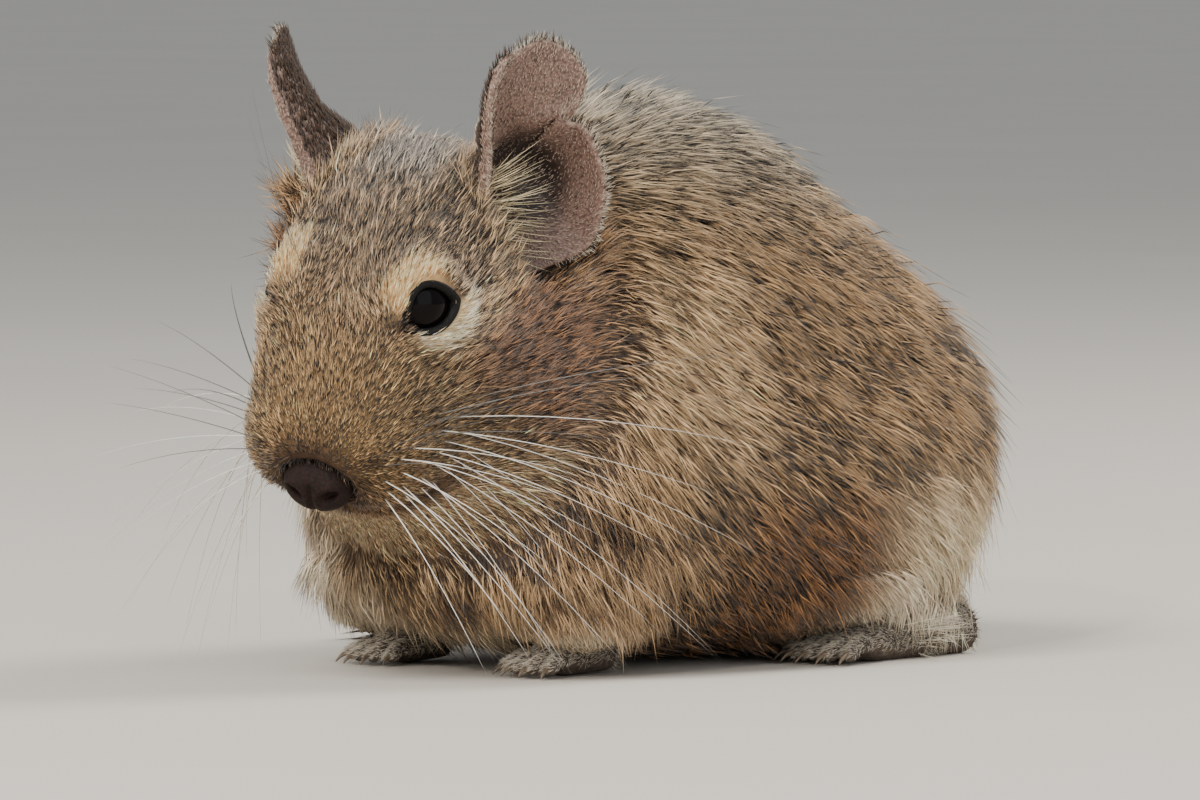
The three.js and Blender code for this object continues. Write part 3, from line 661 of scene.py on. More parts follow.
# Hairs: fine tapered three-sided bars, many to a mesh
def hair_mesh(name, centres, ups, widths, along, uv, attributes):
    """centres and widths are given ring by ring; the last ring is the tip."""
    count, rings = centres.shape[:2]
    per = 3 * (rings - 1) + 1
    verts = np.empty((count, per, 3))
    way = unit(np.gradient(centres, axis=1))
    across = unit(np.cross(way, ups[:, None, :]))
    up = np.cross(across, way)
    for k in range(rings - 1):
        w = widths[:, k, None]
        verts[:, 3 * k] = centres[:, k] + up[:, k] * w * 0.45
        verts[:, 3 * k + 1] = centres[:, k] + across[:, k] * w * 0.5 - up[:, k] * w * 0.1
        verts[:, 3 * k + 2] = centres[:, k] - across[:, k] * w * 0.5 - up[:, k] * w * 0.1
    verts[:, -1] = centres[:, -1]
    corners = [(0, 2, 1)]
    for k in range(rings - 2):
        for i in range(3):
            j = (i + 1) % 3
            a, b, c, d = 3 * k + i, 3 * k + j, 3 * k + 3 + i, 3 * k + 3 + j
            corners += [(a, b, d), (a, d, c)]
    last = 3 * (rings - 2)
    corners += [(last + i, last + (i + 1) % 3, per - 1) for i in range(3)]
    faces = (np.array(corners)[None] + per * np.arange(count)[:, None, None]).reshape(-1, 3)
    mesh = bpy.data.meshes.new(name)
    mesh.vertices.add(count * per)
    mesh.vertices.foreach_set("co", to_frame(verts.reshape(-1, 3)).ravel())
    mesh.loops.add(faces.size)
    mesh.loops.foreach_set("vertex_index", faces.ravel().astype(np.int32))
    mesh.polygons.add(len(faces))
    mesh.polygons.foreach_set("loop_start", np.arange(0, faces.size, 3, dtype=np.int32))
    mesh.polygons.foreach_set("use_smooth", np.ones(len(faces), bool))
    share = np.concatenate([np.repeat(along[:-1], 3), along[-1:]])
    put_attribute(mesh, "along", "FLOAT", np.tile(share, count))
    for key, values in attributes.items():
        kind = "FLOAT" if values.ndim == 1 else "FLOAT_COLOR"
        put_attribute(mesh, key, kind, np.repeat(values, per, axis=0))
    patch = np.zeros((per, 2))
    patch[:, 1] = share * UV_PATCH
    patch[1:-1:3, 0], patch[2:-1:3, 0] = UV_PATCH / 2, -UV_PATCH / 2
    spread = (uv[:, None, :] + patch[None]).reshape(-1, 2)
    layer = mesh.uv_layers.new(name="OFBake")
    layer.data.foreach_set("uv", spread[faces.ravel()].astype(np.float32).ravel())
    mesh.validate()
    return mesh


def surface_of(mesh):
    """The triangles of a mesh with their points, normals and places on its unwrap."""
    mesh.calc_loop_triangles()
    count = len(mesh.loop_triangles)
    tri, loops = np.empty(count * 3, np.int32), np.empty(count * 3, np.int32)
    mesh.loop_triangles.foreach_get("vertices", tri)
    mesh.loop_triangles.foreach_get("loops", loops)
    uv = np.empty(len(mesh.loops) * 2, np.float32)
    mesh.uv_layers["OFBake"].data.foreach_get("uv", uv)
    tri = tri.reshape(-1, 3)
    points, normals = points_of(mesh), normals_of(mesh)
    corners = points[tri]
    square = np.cross(corners[:, 1] - corners[:, 0], corners[:, 2] - corners[:, 0])
    area = np.linalg.norm(square, axis=1) / 2
    return {
        "corners": corners, "normals": normals[tri], "area": area,
        "uv": uv.reshape(-1, 2)[loops.reshape(-1, 3)], "middle": corners.mean(axis=1),
    }


def scatter(surface, weight, count):
    """Roots spread at random over a surface, by area and weight."""
    share = surface["area"] * weight
    picked = rng.choice(len(share), count, p=share / share.sum())
    a, b = rng.random(count), rng.random(count)
    flip = a + b > 1
    a, b = np.where(flip, 1 - a, a), np.where(flip, 1 - b, b)
    weights = np.stack([1 - a - b, a, b], axis=1)
    points, normals, uv = (
        np.einsum("nk,nkd->nd", weights, surface[key][picked]) for key in ("corners", "normals", "uv")
    )
    return points, unit(normals), uv


def clumped(points, size, seed):
    """The middle of the little tuft that each root belongs to, and a number from 0 to 1 for the tuft."""
    jitter = np.stack([value_noise(points, 2.5, seed + i) for i in range(3)], axis=1)
    cell = np.floor(points / size[:, None] + 1.5 * jitter)
    cell = np.column_stack([cell, np.round(size * 8)]).astype(np.int64)
    _, tuft = np.unique(cell, axis=0, return_inverse=True)
    tuft = tuft.ravel()
    members = np.bincount(tuft)
    middle = np.stack([np.bincount(tuft, points[:, i]) / members for i in range(3)], axis=1)
    return middle[tuft], rng.random(len(members))[tuft]


def coat_piece(name, surface, weight, count, guard):
    """One share of the coat: curved guard hairs, or the finer and shorter hairs beneath them."""
    kind = GUARD_HAIR if guard else UNDER_HAIR
    roots, normals, uv = scatter(surface, weight, count)
    length, rise, width = coat_form(roots)
    flow = lie_of_coat(roots, normals)
    flow = unit(flow - np.sum(flow * normals, axis=1, keepdims=True) * normals)
    tuft_size = np.clip(np.round(length * 0.9) / 4, 0.5, 2.2)
    middle, tuft = clumped(roots, tuft_size, 5)
    side = np.cross(normals, flow)
    sway = np.radians(rng.normal(0, 8, count) + 26 * (tuft - 0.5))[:, None]
    flow = flow * np.cos(sway) + side * np.sin(sway)
    length = length * rng.uniform(0.75, 1.15, count) * kind["length"]
    stray = (rng.random(count) < GUARD_HAIR["strays"]) & guard
    length = np.where(stray, length * GUARD_HAIR["stray_length"], length)
    low = np.radians(rise * rng.uniform(0.7, 1.3, count) + 14 * (tuft - 0.5) + 8 * stray)[:, None]
    first = flow * np.cos(low) + normals * np.sin(low)
    last = flow * np.cos(low * 0.3) + normals * np.sin(low * 0.3)
    half = roots + first * length[:, None] * 0.48
    tip = half + last * length[:, None] * 0.52
    half += (middle - roots) * 0.2
    tip += (middle - roots) * 0.5
    start = roots - normals * 0.2
    width = width * rng.uniform(0.75, 1.3, count) * kind["width"]
    if guard:
        centres = np.stack([start, half, tip], axis=1)
        widths = np.stack([width * 0.8, width, width * 0], axis=1)
        along = np.array([0, 0.5, 1])
    else:
        centres = np.stack([start, tip], axis=1)
        widths = np.stack([width * 1.3, width * 0], axis=1)
        along = np.array([0, 1])
    centres[..., 2] = np.maximum(centres[..., 2], FLOOR_GAP)
    band, dark, amount = markings(roots)
    tone = np.exp(rng.normal(0, 0.16 + 0.22 * around_head(roots)))[:, None]
    dice = 0.5 * rng.random(count) + 0.5 * tuft
    attributes = {
        "band": np.clip(band * tone, 0, 1), "dark": np.clip(dark * tone, 0, 1),
        "tipped": ramp(amount - dice, -0.12, 0.12), "start": rng.uniform(0.25, 0.5, count),
    }
    return place(name, hair_mesh(name, centres, normals, widths, along, uv, attributes), COAT)


# Materials
GRAIN_DEPTH = 0.0002
FOOT_TO_BAND = 0.22
TIP_FROM, TIP_FULL = 0.55, 0.8
HAIR_INPUTS = {
    "Band": ("Color", "Color"), "Dark": ("Color", "Color"),
    "Along": ("Float", "Fac"), "Start": ("Float", "Fac"), "Tipped": ("Float", "Fac"),
}


def material(name, **sockets):
    made = bpy.data.materials.new(name)
    made.use_nodes = True
    shader = made.node_tree.nodes["Principled BSDF"]
    for key, value in sockets.items():
        shader.inputs[key.replace("_", " ")].default_value = value
    return made, made.node_tree, shader


def node(tree, kind, inputs=(), **settings):
    made = tree.nodes.new(kind)
    for key, value in settings.items():
        setattr(made, key, value)
    for key, value in dict(inputs).items():
        socket = made.inputs[key]
        if isinstance(value, bpy.types.NodeSocket):
            tree.links.new(value, socket)
        else:
            socket.default_value = value
    return made


def mix_colour(tree, share, a, b):
    return node(tree, "ShaderNodeMix", {0: share, 6: a, 7: b}, data_type="RGBA").outputs[2]


def pattern(tree, kind, scale, detail=2):
    """A noise or the cells of a Voronoi pattern over the piece, by its own coordinates."""
    inputs = {"Vector": node(tree, "ShaderNodeTexCoord").outputs["Object"], "Scale": scale}
    if kind == "Voronoi":
        return node(tree, "ShaderNodeTexVoronoi", inputs).outputs["Distance"]
    return node(tree, "ShaderNodeTexNoise", {**inputs, "Detail": detail}).outputs["Fac"]


def grained(tree, shader, height, strength):
    """A fine relief of the surface."""
    bump = node(tree, "ShaderNodeBump", {"Height": height, "Strength": strength, "Distance": GRAIN_DEPTH})
    tree.links.new(bump.outputs[0], shader.inputs["Normal"])


def agouti_group():
    """Hair colour along its length: a dark foot, a light band, and a tip that is dark where it is tipped."""
    group = bpy.data.node_groups.new("agouti_hair", "ShaderNodeTree")
    for name, (kind, _) in HAIR_INPUTS.items():
        group.interface.new_socket(name, in_out="INPUT", socket_type=f"NodeSocket{kind}")
    group.interface.new_socket("Colour", in_out="OUTPUT", socket_type="NodeSocketColor")
    source = group.nodes.new("NodeGroupInput").outputs
    end = node(group, "ShaderNodeMath", {0: source["Start"], 1: FOOT_TO_BAND}, operation="ADD").outputs[0]
    from_foot = {"Value": source["Along"], "From Min": source["Start"], "From Max": end}
    foot = node(group, "ShaderNodeMapRange", from_foot, interpolation_type="SMOOTHSTEP").outputs[0]
    lit = mix_colour(group, foot, source["Dark"], source["Band"])
    to_tip = {"Value": source["Along"], "From Min": TIP_FROM, "From Max": TIP_FULL}
    late = node(group, "ShaderNodeMapRange", to_tip).outputs[0]
    cover = node(group, "ShaderNodeMath", {0: late, 1: source["Tipped"]}, operation="MULTIPLY").outputs[0]
    tipped = mix_colour(group, cover, lit, source["Dark"])
    target = group.nodes.new("NodeGroupOutput")
    group.links.new(tipped, target.inputs[0])
    return group


AGOUTI = agouti_group()


def attribute(tree, name, output):
    return node(tree, "ShaderNodeAttribute", attribute_name=name).outputs[output]


def hair_material(name, roughness=0.62, sheen=0.15):
    made, tree, shader = material(name, Roughness=roughness, Sheen_Weight=sheen, Specular_IOR_Level=0.35)
    group = tree.nodes.new("ShaderNodeGroup")
    group.node_tree = AGOUTI
    for socket, (_, output) in HAIR_INPUTS.items():
        tree.links.new(attribute(tree, socket.lower(), output), group.inputs[socket])
    tree.links.new(group.outputs[0], shader.inputs["Base Color"])
    return made


def skin_material():
    made, tree, shader = material("skin", Roughness=0.85, Specular_IOR_Level=0.2)
    speck = pattern(tree, "Noise", 900, 3)
    under = mix_colour(tree, speck, attribute(tree, "dark", "Color"), attribute(tree, "band", "Color"))
    tree.links.new(mix_colour(tree, 0.45, under, rgba("#261c17")), shader.inputs["Base Color"])
    grained(tree, shader, pattern(tree, "Noise", 1500), 0.4)
    return made


def ear_material():
    made, tree, shader = material("ear_skin", Roughness=0.55, Subsurface_Weight=0.15, Subsurface_Scale=0.001)
    shader.inputs["Subsurface Radius"].default_value = (1.0, 0.35, 0.25)
    warm = mix_colour(tree, pattern(tree, "Noise", 160, 5), rgba("#765a50"), rgba("#bf9f8f"))
    grain = pattern(tree, "Voronoi", 2600)
    fine = mix_colour(tree, grain, warm, rgba("#4a342d"))
    colour = mix_colour(tree, attribute(tree, "rim", "Fac"), fine, rgba("#b39a88"))
    # Painted shade: deep in the ear's cup the skin is mixed to near black
    colour = mix_colour(tree, attribute(tree, "deep", "Fac"), colour, rgba("#170f0e"))
    tree.links.new(colour, shader.inputs["Base Color"])
    grained(tree, shader, grain, 0.35)
    return made


def plain_skin_material(name, light, deep, scale, roughness):
    made, tree, shader = material(name, Roughness=roughness, Specular_IOR_Level=0.25)
    cells = pattern(tree, "Voronoi", scale)
    colour = mix_colour(tree, pattern(tree, "Noise", scale / 8, 4), rgba(deep), rgba(light))
    tree.links.new(mix_colour(tree, cells, colour, rgba(deep)), shader.inputs["Base Color"])
    grained(tree, shader, cells, 0.5)
    return made


def eye_material():
    made, tree, shader = material("eye", Roughness=0.12, Specular_IOR_Level=0.07)
    shader.inputs["Coat Weight"].default_value = 0.07
    shader.inputs["Coat Roughness"].default_value = 0.02
    colour = mix_colour(tree, pattern(tree, "Noise", 400), rgba("#060505"), rgba("#100b0a"))
    tree.links.new(colour, shader.inputs["Base Color"])
    return made


def horn_material(name, light, deep):
    made, tree, shader = material(name, Roughness=0.35, Specular_IOR_Level=0.5)
    colour = mix_colour(tree, pattern(tree, "Noise", 700), rgba(deep), rgba(light))
    tree.links.new(colour, shader.inputs["Base Color"])
    return made


# Ears
def ear_frame(ear):
    """An ear's own directions, up, out of its opening and to its rear, and the middle of its foot."""
    side = ear["side"]
    forward = np.array([math.sin(HEAD_TURN), -math.cos(HEAD_TURN), 0])
    lateral = np.array([math.cos(HEAD_TURN), math.sin(HEAD_TURN), 0]) * side
    up = unit(np.array([0, 0, 1]) + lateral * ear["out"] + forward * ear["ahead"])
    opening = forward * math.cos(EAR_SWING) + lateral * math.sin(EAR_SWING)
    opening = unit(opening - up * (opening @ up))
    rear = np.cross(up, opening) * side
    base = from_head(EAR_BASE * [side, 1, 1]) - up * ear["sink"]
    return up, opening, rear, base


def ear_rim(ear, count):
    """Points round the edge of an ear, notched where it is folded over."""
    drawn = [(p + (ear["notch"] if i in EAR_NOTCH_AT else 0), q, 0) for i, (p, q) in enumerate(EAR_OUTLINE)]
    return smooth_route(drawn + drawn[:1], count)[:, :2]


def ear_wall(ear, rim, share):
    """Places on the cupped wall of an ear, from its deep point at share 0 to its rim at 1."""
    up, opening, rear, base = ear_frame(ear)
    front = ramp(-rim[:, 0], 0, 7) * ramp(rim[:, 1], -6, 4)
    belly = 0.3 * front * np.sin(math.pi * share**1.5)
    flat = EAR_DEEP_POINT + (rim - EAR_DEEP_POINT) * (share + belly)[:, None]
    hollow = (1 - share**2.2) * np.exp(-(((flat[:, 1] - 3) / 10) ** 2))
    curve = 0.035 * (flat[:, 0] - 1.5) ** 2 * share
    crease = (flat[:, 1] - 9.5 - 0.55 * (flat[:, 0] + 5)) / 1.3
    fold = 1.1 * np.exp(-(crease**2)) * ramp(share, 0.15, 0.5) * (1 - ramp(share, 0.75, 1))
    lift = curve + fold - EAR_CUP_DEPTH * hollow
    return base + np.outer(flat[:, 0], rear) + np.outer(flat[:, 1], up) + np.outer(lift, opening)


def make_ear(name, ear):
    spokes, rings = 108, 22
    rim = ear_rim(ear, spokes + 1)
    bm = bmesh.new()
    bmesh.ops.create_grid(bm, x_segments=spokes, y_segments=rings, size=0.5)
    flat = np.array([vert.co[:2] for vert in bm.verts]) + 0.5
    spoke = np.rint(flat[:, 0] * spokes).astype(int)
    share = np.clip(flat[:, 1], 0, 1)
    for vert, place_on_wall in zip(bm.verts, to_frame(ear_wall(ear, rim[spoke], share))):
        vert.co = place_on_wall
    bmesh.ops.remove_doubles(bm, verts=bm.verts, dist=2e-5)
    bmesh.ops.recalc_face_normals(bm, faces=bm.faces)
    up, opening, rear, base = ear_frame(ear)
    facing = sum((face.normal * face.calc_area() for face in bm.faces), Vector())
    if facing.dot(Vector(opening)) < 0:
        bmesh.ops.reverse_faces(bm, faces=bm.faces)
    shell = bpy.data.objects.new("ear_source", mesh_of(bm, "ear_source"))
    bpy.context.scene.collection.objects.link(shell)
    wall = shell.modifiers.new("wall", "SOLIDIFY")
    wall.thickness = EAR_THICKNESS * MM
    wall.offset = 0
    round_rim = shell.modifiers.new("round", "SUBSURF")
    round_rim.levels = round_rim.render_levels = 1
    mesh = baked(shell, name)
    local = points_of(mesh) - base
    across = np.stack([local @ rear, local @ up], axis=1)
    edge = np.min(np.linalg.norm(across[:, None] - rim[None, ::3], axis=2), axis=1)
    put_attribute(mesh, "rim", "FLOAT", (1 - ramp(edge, 0.15, 0.7)) * 0.7)
    # Painted shade: the deep attribute darkens the skin towards the bottom of the ear's cup, where shade
    # falls
    put_attribute(mesh, "deep", "FLOAT", (1 - ramp(local @ opening, -5, -1.2)) * 0.9)
    return made_smooth(mesh)


def unwrap(piece):
    """An unwrap of the piece's own shape, named for the bake."""
    mesh = piece.data
    layer = mesh.uv_layers.get("OFBake") or mesh.uv_layers.new(name="OFBake")
    mesh.uv_layers.active = layer
    for other in bpy.context.selected_objects:
        other.select_set(False)
    piece.select_set(True)
    bpy.context.view_layer.objects.active = piece
    bpy.ops.object.mode_set(mode="EDIT")
    bpy.ops.mesh.select_all(action="SELECT")
    bpy.ops.uv.smart_project(angle_limit=math.radians(66), island_margin=0.004)
    bpy.ops.object.mode_set(mode="OBJECT")
    piece.select_set(False)


# Eyes and lids
def before_eye(side, flat, height):
    """Points across and up from an eye's axis, at a height along it."""
    return from_head(EYE_AT[side] + np.column_stack([flat, height]) @ np.stack(eye_axes(side)))


def make_eye(side):
    bm = bmesh.new()
    bmesh.ops.create_uvsphere(bm, u_segments=48, v_segments=32, radius=(EYE_RADIUS - 0.05) * MM)
    bmesh.ops.translate(bm, verts=bm.verts, vec=Vector(to_frame(from_head(EYE_AT[side]))))
    return mesh_of(bm, "eye")


def make_lids(side, skin_tree):
    """A dark fleshy rim, from the eyeball out over the skin, thicker towards the two corners."""
    spokes, turns = 72, 16
    outline = lid_outline(side, spokes)
    centre = outline.mean(axis=0)
    away = outline - centre
    size = np.linalg.norm(away, axis=1)
    rim = LID_RIM["outside"] + LID_RIM["corner"] * np.abs(outline[:, 0] / LIDS["width"] * 2) ** 4
    wide = centre + away * (1 + rim / size)[:, None]
    close = centre + away * (1 - LID_RIM["inside"] / size)[:, None]
    outward = HEAD @ eye_axes(side)[2]
    inner = before_eye(side, close, eye_height(close) + LID_RIM["seat"])

    def on_skin(point, clear):
        """The place straight in over the skin, at least that clear of it."""
        hit = skin_tree.ray_cast(Vector(to_frame(point + outward * 6)), Vector(-outward))[0]
        if hit is None:
            return point
        return point + outward * ((np.array(hit) / MM - SHIFT - point) @ outward + clear)

    outer = [on_skin(point, LID_RIM["seat"]) for point in before_eye(side, wide, eye_height(wide))]
    bm = bmesh.new()
    bmesh.ops.create_grid(bm, x_segments=spokes, y_segments=turns, size=0.5)
    for vert in bm.verts:
        spoke = round((vert.co.x + 0.5) * spokes) % spokes
        angle = 2 * math.pi * (vert.co.y + 0.5)
        reach = (outer[spoke] - inner[spoke]) / 2
        middle = (outer[spoke] + inner[spoke]) / 2
        point = middle + reach * math.cos(angle) + outward * LID_RIM["rise"] * math.sin(angle)
        if math.sin(angle) > 0.05 and math.cos(angle) > -0.8:
            resting = on_skin(point, LID_RIM["clear"])
            point = resting if (resting - point) @ outward > 0 else point
        vert.co = to_frame(point)
    bmesh.ops.remove_doubles(bm, verts=bm.verts, dist=1e-6)
    every_way = {"use_axis_x": True, "use_axis_y": True, "use_axis_z": True}
    bmesh.ops.smooth_vert(bm, verts=bm.verts, factor=0.25, **every_way)
    bmesh.ops.recalc_face_normals(bm, faces=bm.faces)
    return mesh_of(bm, "lids")


def make_nose():
    """The nose pad, with two comma-shaped nostrils and the cleft between them."""
    bm = bmesh.new()
    bmesh.ops.create_icosphere(bm, subdivisions=5, radius=1)
    shape = np.array([vert.co for vert in bm.verts])
    tilt = turn_x(math.radians(-20))
    local = shape * (NOSE_HALF + [-0.2, 0.2, -0.25])
    front = ramp(-shape[:, 1], 0, 0.5)
    for side in SIDES:
        slope = local[:, 2] + 0.3 - 0.35 * (side * local[:, 0] - 2.5)
        hole = np.stack([(local[:, 0] - side * 2.5) / 1.15, slope / 0.75], axis=1)
        local[:, 1] += 1.6 * front * np.exp(-np.sum(hole**2, axis=1) ** 1.5)
        wing = np.stack([(local[:, 0] - side * 3.2) / 1.5, (local[:, 2] - 1.3) / 0.9], axis=1)
        local[:, 1] -= 0.5 * front * np.exp(-np.sum(wing**2, axis=1))
    local[:, 1] += 0.7 * front * np.exp(-((local[:, 0] / 0.4) ** 2)) * (1 - ramp(local[:, 2], 0.5, 2))
    for vert, point in zip(bm.verts, to_frame(from_head(local @ tilt.T + NOSE_AT))):
        vert.co = point
    return mesh_of(bm, "nose")


# Feet
def digit_line(foot, side, i):
    """The way out of a digit, and its middle line from the sole to the root of its claw."""
    share = i / (foot["digits"] - 1) - 0.5
    angle = math.radians(foot["spread"] * share)
    way = np.array([side * math.sin(angle), -math.cos(angle), 0])
    reach = foot["length"] * (1 - 0.9 * share * share)
    x = side * (foot["ball"][0] + share * foot["half"][0] * 1.45)
    root = np.array([x, foot["ball"][1] - foot["half"][1] * 0.5, 0])
    line = root + np.outer([-2.5, 0.4 * reach, 0.75 * reach, reach], way)
    line[:, 2] = np.array([1.7, 1.95, 1.3, 0.95]) * foot["radius"]
    return way, line


def make_feet():
    """Four feet at a fine grain: heel, sole, and digits that bend at their joints and end in pads."""
    whole = bmesh.new()
    rings = 13
    swell = np.interp(np.linspace(0, 1, rings), list(DIGIT_SWELL), list(DIGIT_SWELL.values()))
    for foot in (FOREPAW, HINDFOOT):
        heel, ball, half = (np.array(foot[key]) for key in ("heel", "ball", "half"))
        for side in SIDES:
            mirror = [side, 1, 1]
            spine = smooth_route(np.array([heel + [0, 1.5, 0], heel * 0.6 + ball * 0.4, ball]) * mirror, 9)
            spine[:, 2] = np.linspace(half[2] * 1.1, half[2] * 0.9, 9)
            part_mesh(round_bar(spine, np.linspace(half[0] * 0.72, half[0] * 0.7, 9), 16), whole)
            sole = bmesh.new()
            bmesh.ops.create_icosphere(sole, subdivisions=3, radius=1)
            bmesh.ops.scale(sole, verts=sole.verts, vec=Vector(half * [0.95, 0.9, 0.85] * MM))
            bmesh.ops.translate(sole, verts=sole.verts, vec=Vector(to_frame(ball * mirror)))
            part_mesh(sole, whole)
            for i in range(foot["digits"]):
                _, line = digit_line(foot, side, i)
                part_mesh(round_bar(smooth_route(line, rings), swell * foot["radius"] * 0.9, 10), whole)
    mesh = evened(whole, FOOT_VOXEL, "feet")
    smoothed(mesh, lambda p: np.full(len(p), 2.0))
    points = points_of(mesh)
    points[:, 2] = np.maximum(points[:, 2], LEVEL_SOLE)
    set_points(mesh, points)
    return made_smooth(mesh)


def foot_hair(surface):
    """Short pale hairs on the backs of the feet, laid along the digits."""
    weight = ramp(surface["normals"][:, :, 2].mean(axis=1), -0.6, 0.1)
    weight = weight * ramp(surface["middle"][:, 2], 0.5, 1.4)
    count = FOOT_HAIRS
    roots, normals, uv = scatter(surface, weight, count)
    flow = np.tile([0.0, -1.0, -0.15], (count, 1)) + rng.normal(0, 0.16, (count, 3))
    flow = unit(flow - np.sum(flow * normals, axis=1, keepdims=True) * normals)
    length = rng.uniform(0.9, 1.9, count)[:, None]
    tip = roots + (flow * 0.95 + normals * 0.3) * length
    centres = np.stack([roots - normals * 0.1, tip], axis=1)
    centres[..., 2] = np.maximum(centres[..., 2], FLOOR_GAP)
    widths = np.tile([0.13, 0.0], (count, 1))
    tone = rng.uniform(0.4, 1.2, count)[:, None]
    attributes = {
        "band": np.clip(shade("#e4d7c2") * tone, 0, 1), "dark": shade("#6a5f54") * tone,
        "tipped": rng.random(count) * 0.5, "start": rng.uniform(0.05, 0.3, count),
    }
    return hair_mesh("foot_hair", centres, normals, widths, np.array([0, 1]), uv, attributes)


def make_claws():
    """Small dark claws, curved down to the floor."""
    whole = bmesh.new()
    for foot in (FOREPAW, HINDFOOT):
        for side in SIDES:
            for i in range(foot["digits"]):
                way, digit = digit_line(foot, side, i)
                line = digit[-1] + np.outer([-0.9, 0.2, foot["claw"] * 0.6, foot["claw"]], way)
                line[:, 2] = np.array([1.25, 1.25, 0.95, 0.3]) * foot["radius"]
                part_mesh(round_bar(smooth_route(line, 7), np.linspace(0.55, 0.1, 7), 8), whole)
    return mesh_of(whole, "claws")


# Whiskers and brow hairs
def whisker_line(side, root, swing, lift, length, droop):
    """A whisker's middle line: swing turns it back, lift raises it, and one that reaches too far is cut."""
    start = from_head(root)
    turned = HEAD_TURN + side * swing
    way = np.array([side * math.cos(turned), side * math.sin(turned), 0]) * math.cos(lift)
    way = way + [0, 0, math.sin(lift)]
    sag = np.outer(length * WHISKER_STEPS**2, [0, 0.1, -droop])
    line = start + np.outer(WHISKER_STEPS * length, way) + sag
    over = np.maximum((line - WHISKER_HIGH) / length, (WHISKER_LOW - line) / length).max()
    if over > 0:
        return whisker_line(side, root, swing, lift, length * (0.97 - 0.5 * min(over, 1)), droop)
    return line


def make_whiskers():
    """Long stiff hairs in rows on the pads beside the nose, over the eyes and at the cheeks."""
    lines, widths, tones = [], [], []

    def grow(line, width, tone):
        lines.append(line)
        widths.append(width * (1 - 0.88 * WHISKER_STEPS))
        tones.append(tone)

    for side in SIDES:
        for row in range(5):
            for column in range(6):
                root = pad_root(side, row, column)
                swing = math.radians(-14 + 12 * column + rng.normal(0, 4))
                lift = math.radians(20 - 15 * row + rng.normal(0, 4))
                length = (24 + 5.5 * column) * rng.uniform(0.85, 1.15)
                is_dark = row == 0 or (row == 1 and column % 3 == 0)
                line = whisker_line(side, root, swing, lift, min(length, WHISKER_LONGEST), 0.12 + 0.06 * row)
                grow(line, WHISKER_WIDTH, rng.uniform(0.05, 0.25) if is_dark else rng.uniform(0.8, 1))
        for i in range(5):
            root = EYE_AT[side] + np.array([-side * (2.2 - i), -2.2 + 1.2 * i, 4.9])
            line = whisker_line(side, root, math.radians(20 * i - 70), math.radians(66), 12 + 3 * i, 0.05)
            grow(line, BROW_WIDTH, 0.1)
        for i in range(3):
            root = np.array([side * (13.5 + 0.5 * i), -12 + 3.5 * i, -4 - 1.5 * i])
            line = whisker_line(side, root, math.radians(50), math.radians(-10), 14 + 2 * i, 0.1)
            grow(line, BROW_WIDTH, 0.5)
    count = len(lines)
    tones = np.array(tones)[:, None]
    colour = tones * shade("#fbf6ec") + (1 - tones) * shade("#1a1411")
    attributes = {"band": colour, "dark": colour, "tipped": np.zeros(count), "start": np.full(count, 0.05)}
    ups = np.tile([0.0, 0.0, 1.0], (count, 1))
    uv = rng.random((count, 2)) * 0.9 + 0.05
    return hair_mesh("whiskers", np.array(lines), ups, np.array(widths), WHISKER_STEPS, uv, attributes)


def ear_hair(name, surface, ear):
    """Down on the dark back and the paler inside of an ear, laid out from its middle towards its rim."""
    up, opening, rear, base = ear_frame(ear)
    outside = surface["normals"].mean(axis=1) @ opening < 0
    at_foot = (surface["middle"] - base) @ up < -6.5
    weight = np.where(outside, 1.6, 0.8) * np.where(at_foot, 0.2, 1)
    count = EAR_HAIRS
    roots, normals, uv = scatter(surface, weight, count)
    spot = roots - base
    outer = normals @ opening < 0
    outward = np.outer(spot @ rear - 1.8, rear) + np.outer(spot @ up - 2, up)
    flow = unit(unit(outward) + 0.5 * up)
    flow = unit(flow - np.sum(flow * normals, axis=1, keepdims=True) * normals)
    length = np.where(outer, 1.8, 1.1) * rng.uniform(0.7, 1.2, count)
    low = np.radians(rng.uniform(10, 30, count))[:, None]
    way = flow * np.cos(low) + normals * np.sin(low)
    tip = roots + way * length[:, None]
    centres = np.stack([roots - normals * 0.1, (roots + tip) / 2 + normals * 0.05, tip], axis=1)
    width = np.where(outer, 0.15, 0.09)
    widths = np.stack([width, width, width * 0], axis=1)
    band = np.where(outer[:, None], shade("#4a3523"), shade("#d0b7a3")) * rng.normal(1, 0.15, count)[:, None]
    attributes = {
        "band": np.clip(band, 0, 1), "dark": np.where(outer[:, None], shade("#1d1410"), shade("#75604f")),
        "tipped": (rng.random(count) < 0.4).astype(float), "start": rng.uniform(0.1, 0.3, count),
    }
    return hair_mesh(name, centres, normals, widths, np.array([0, 0.5, 1]), uv, attributes)


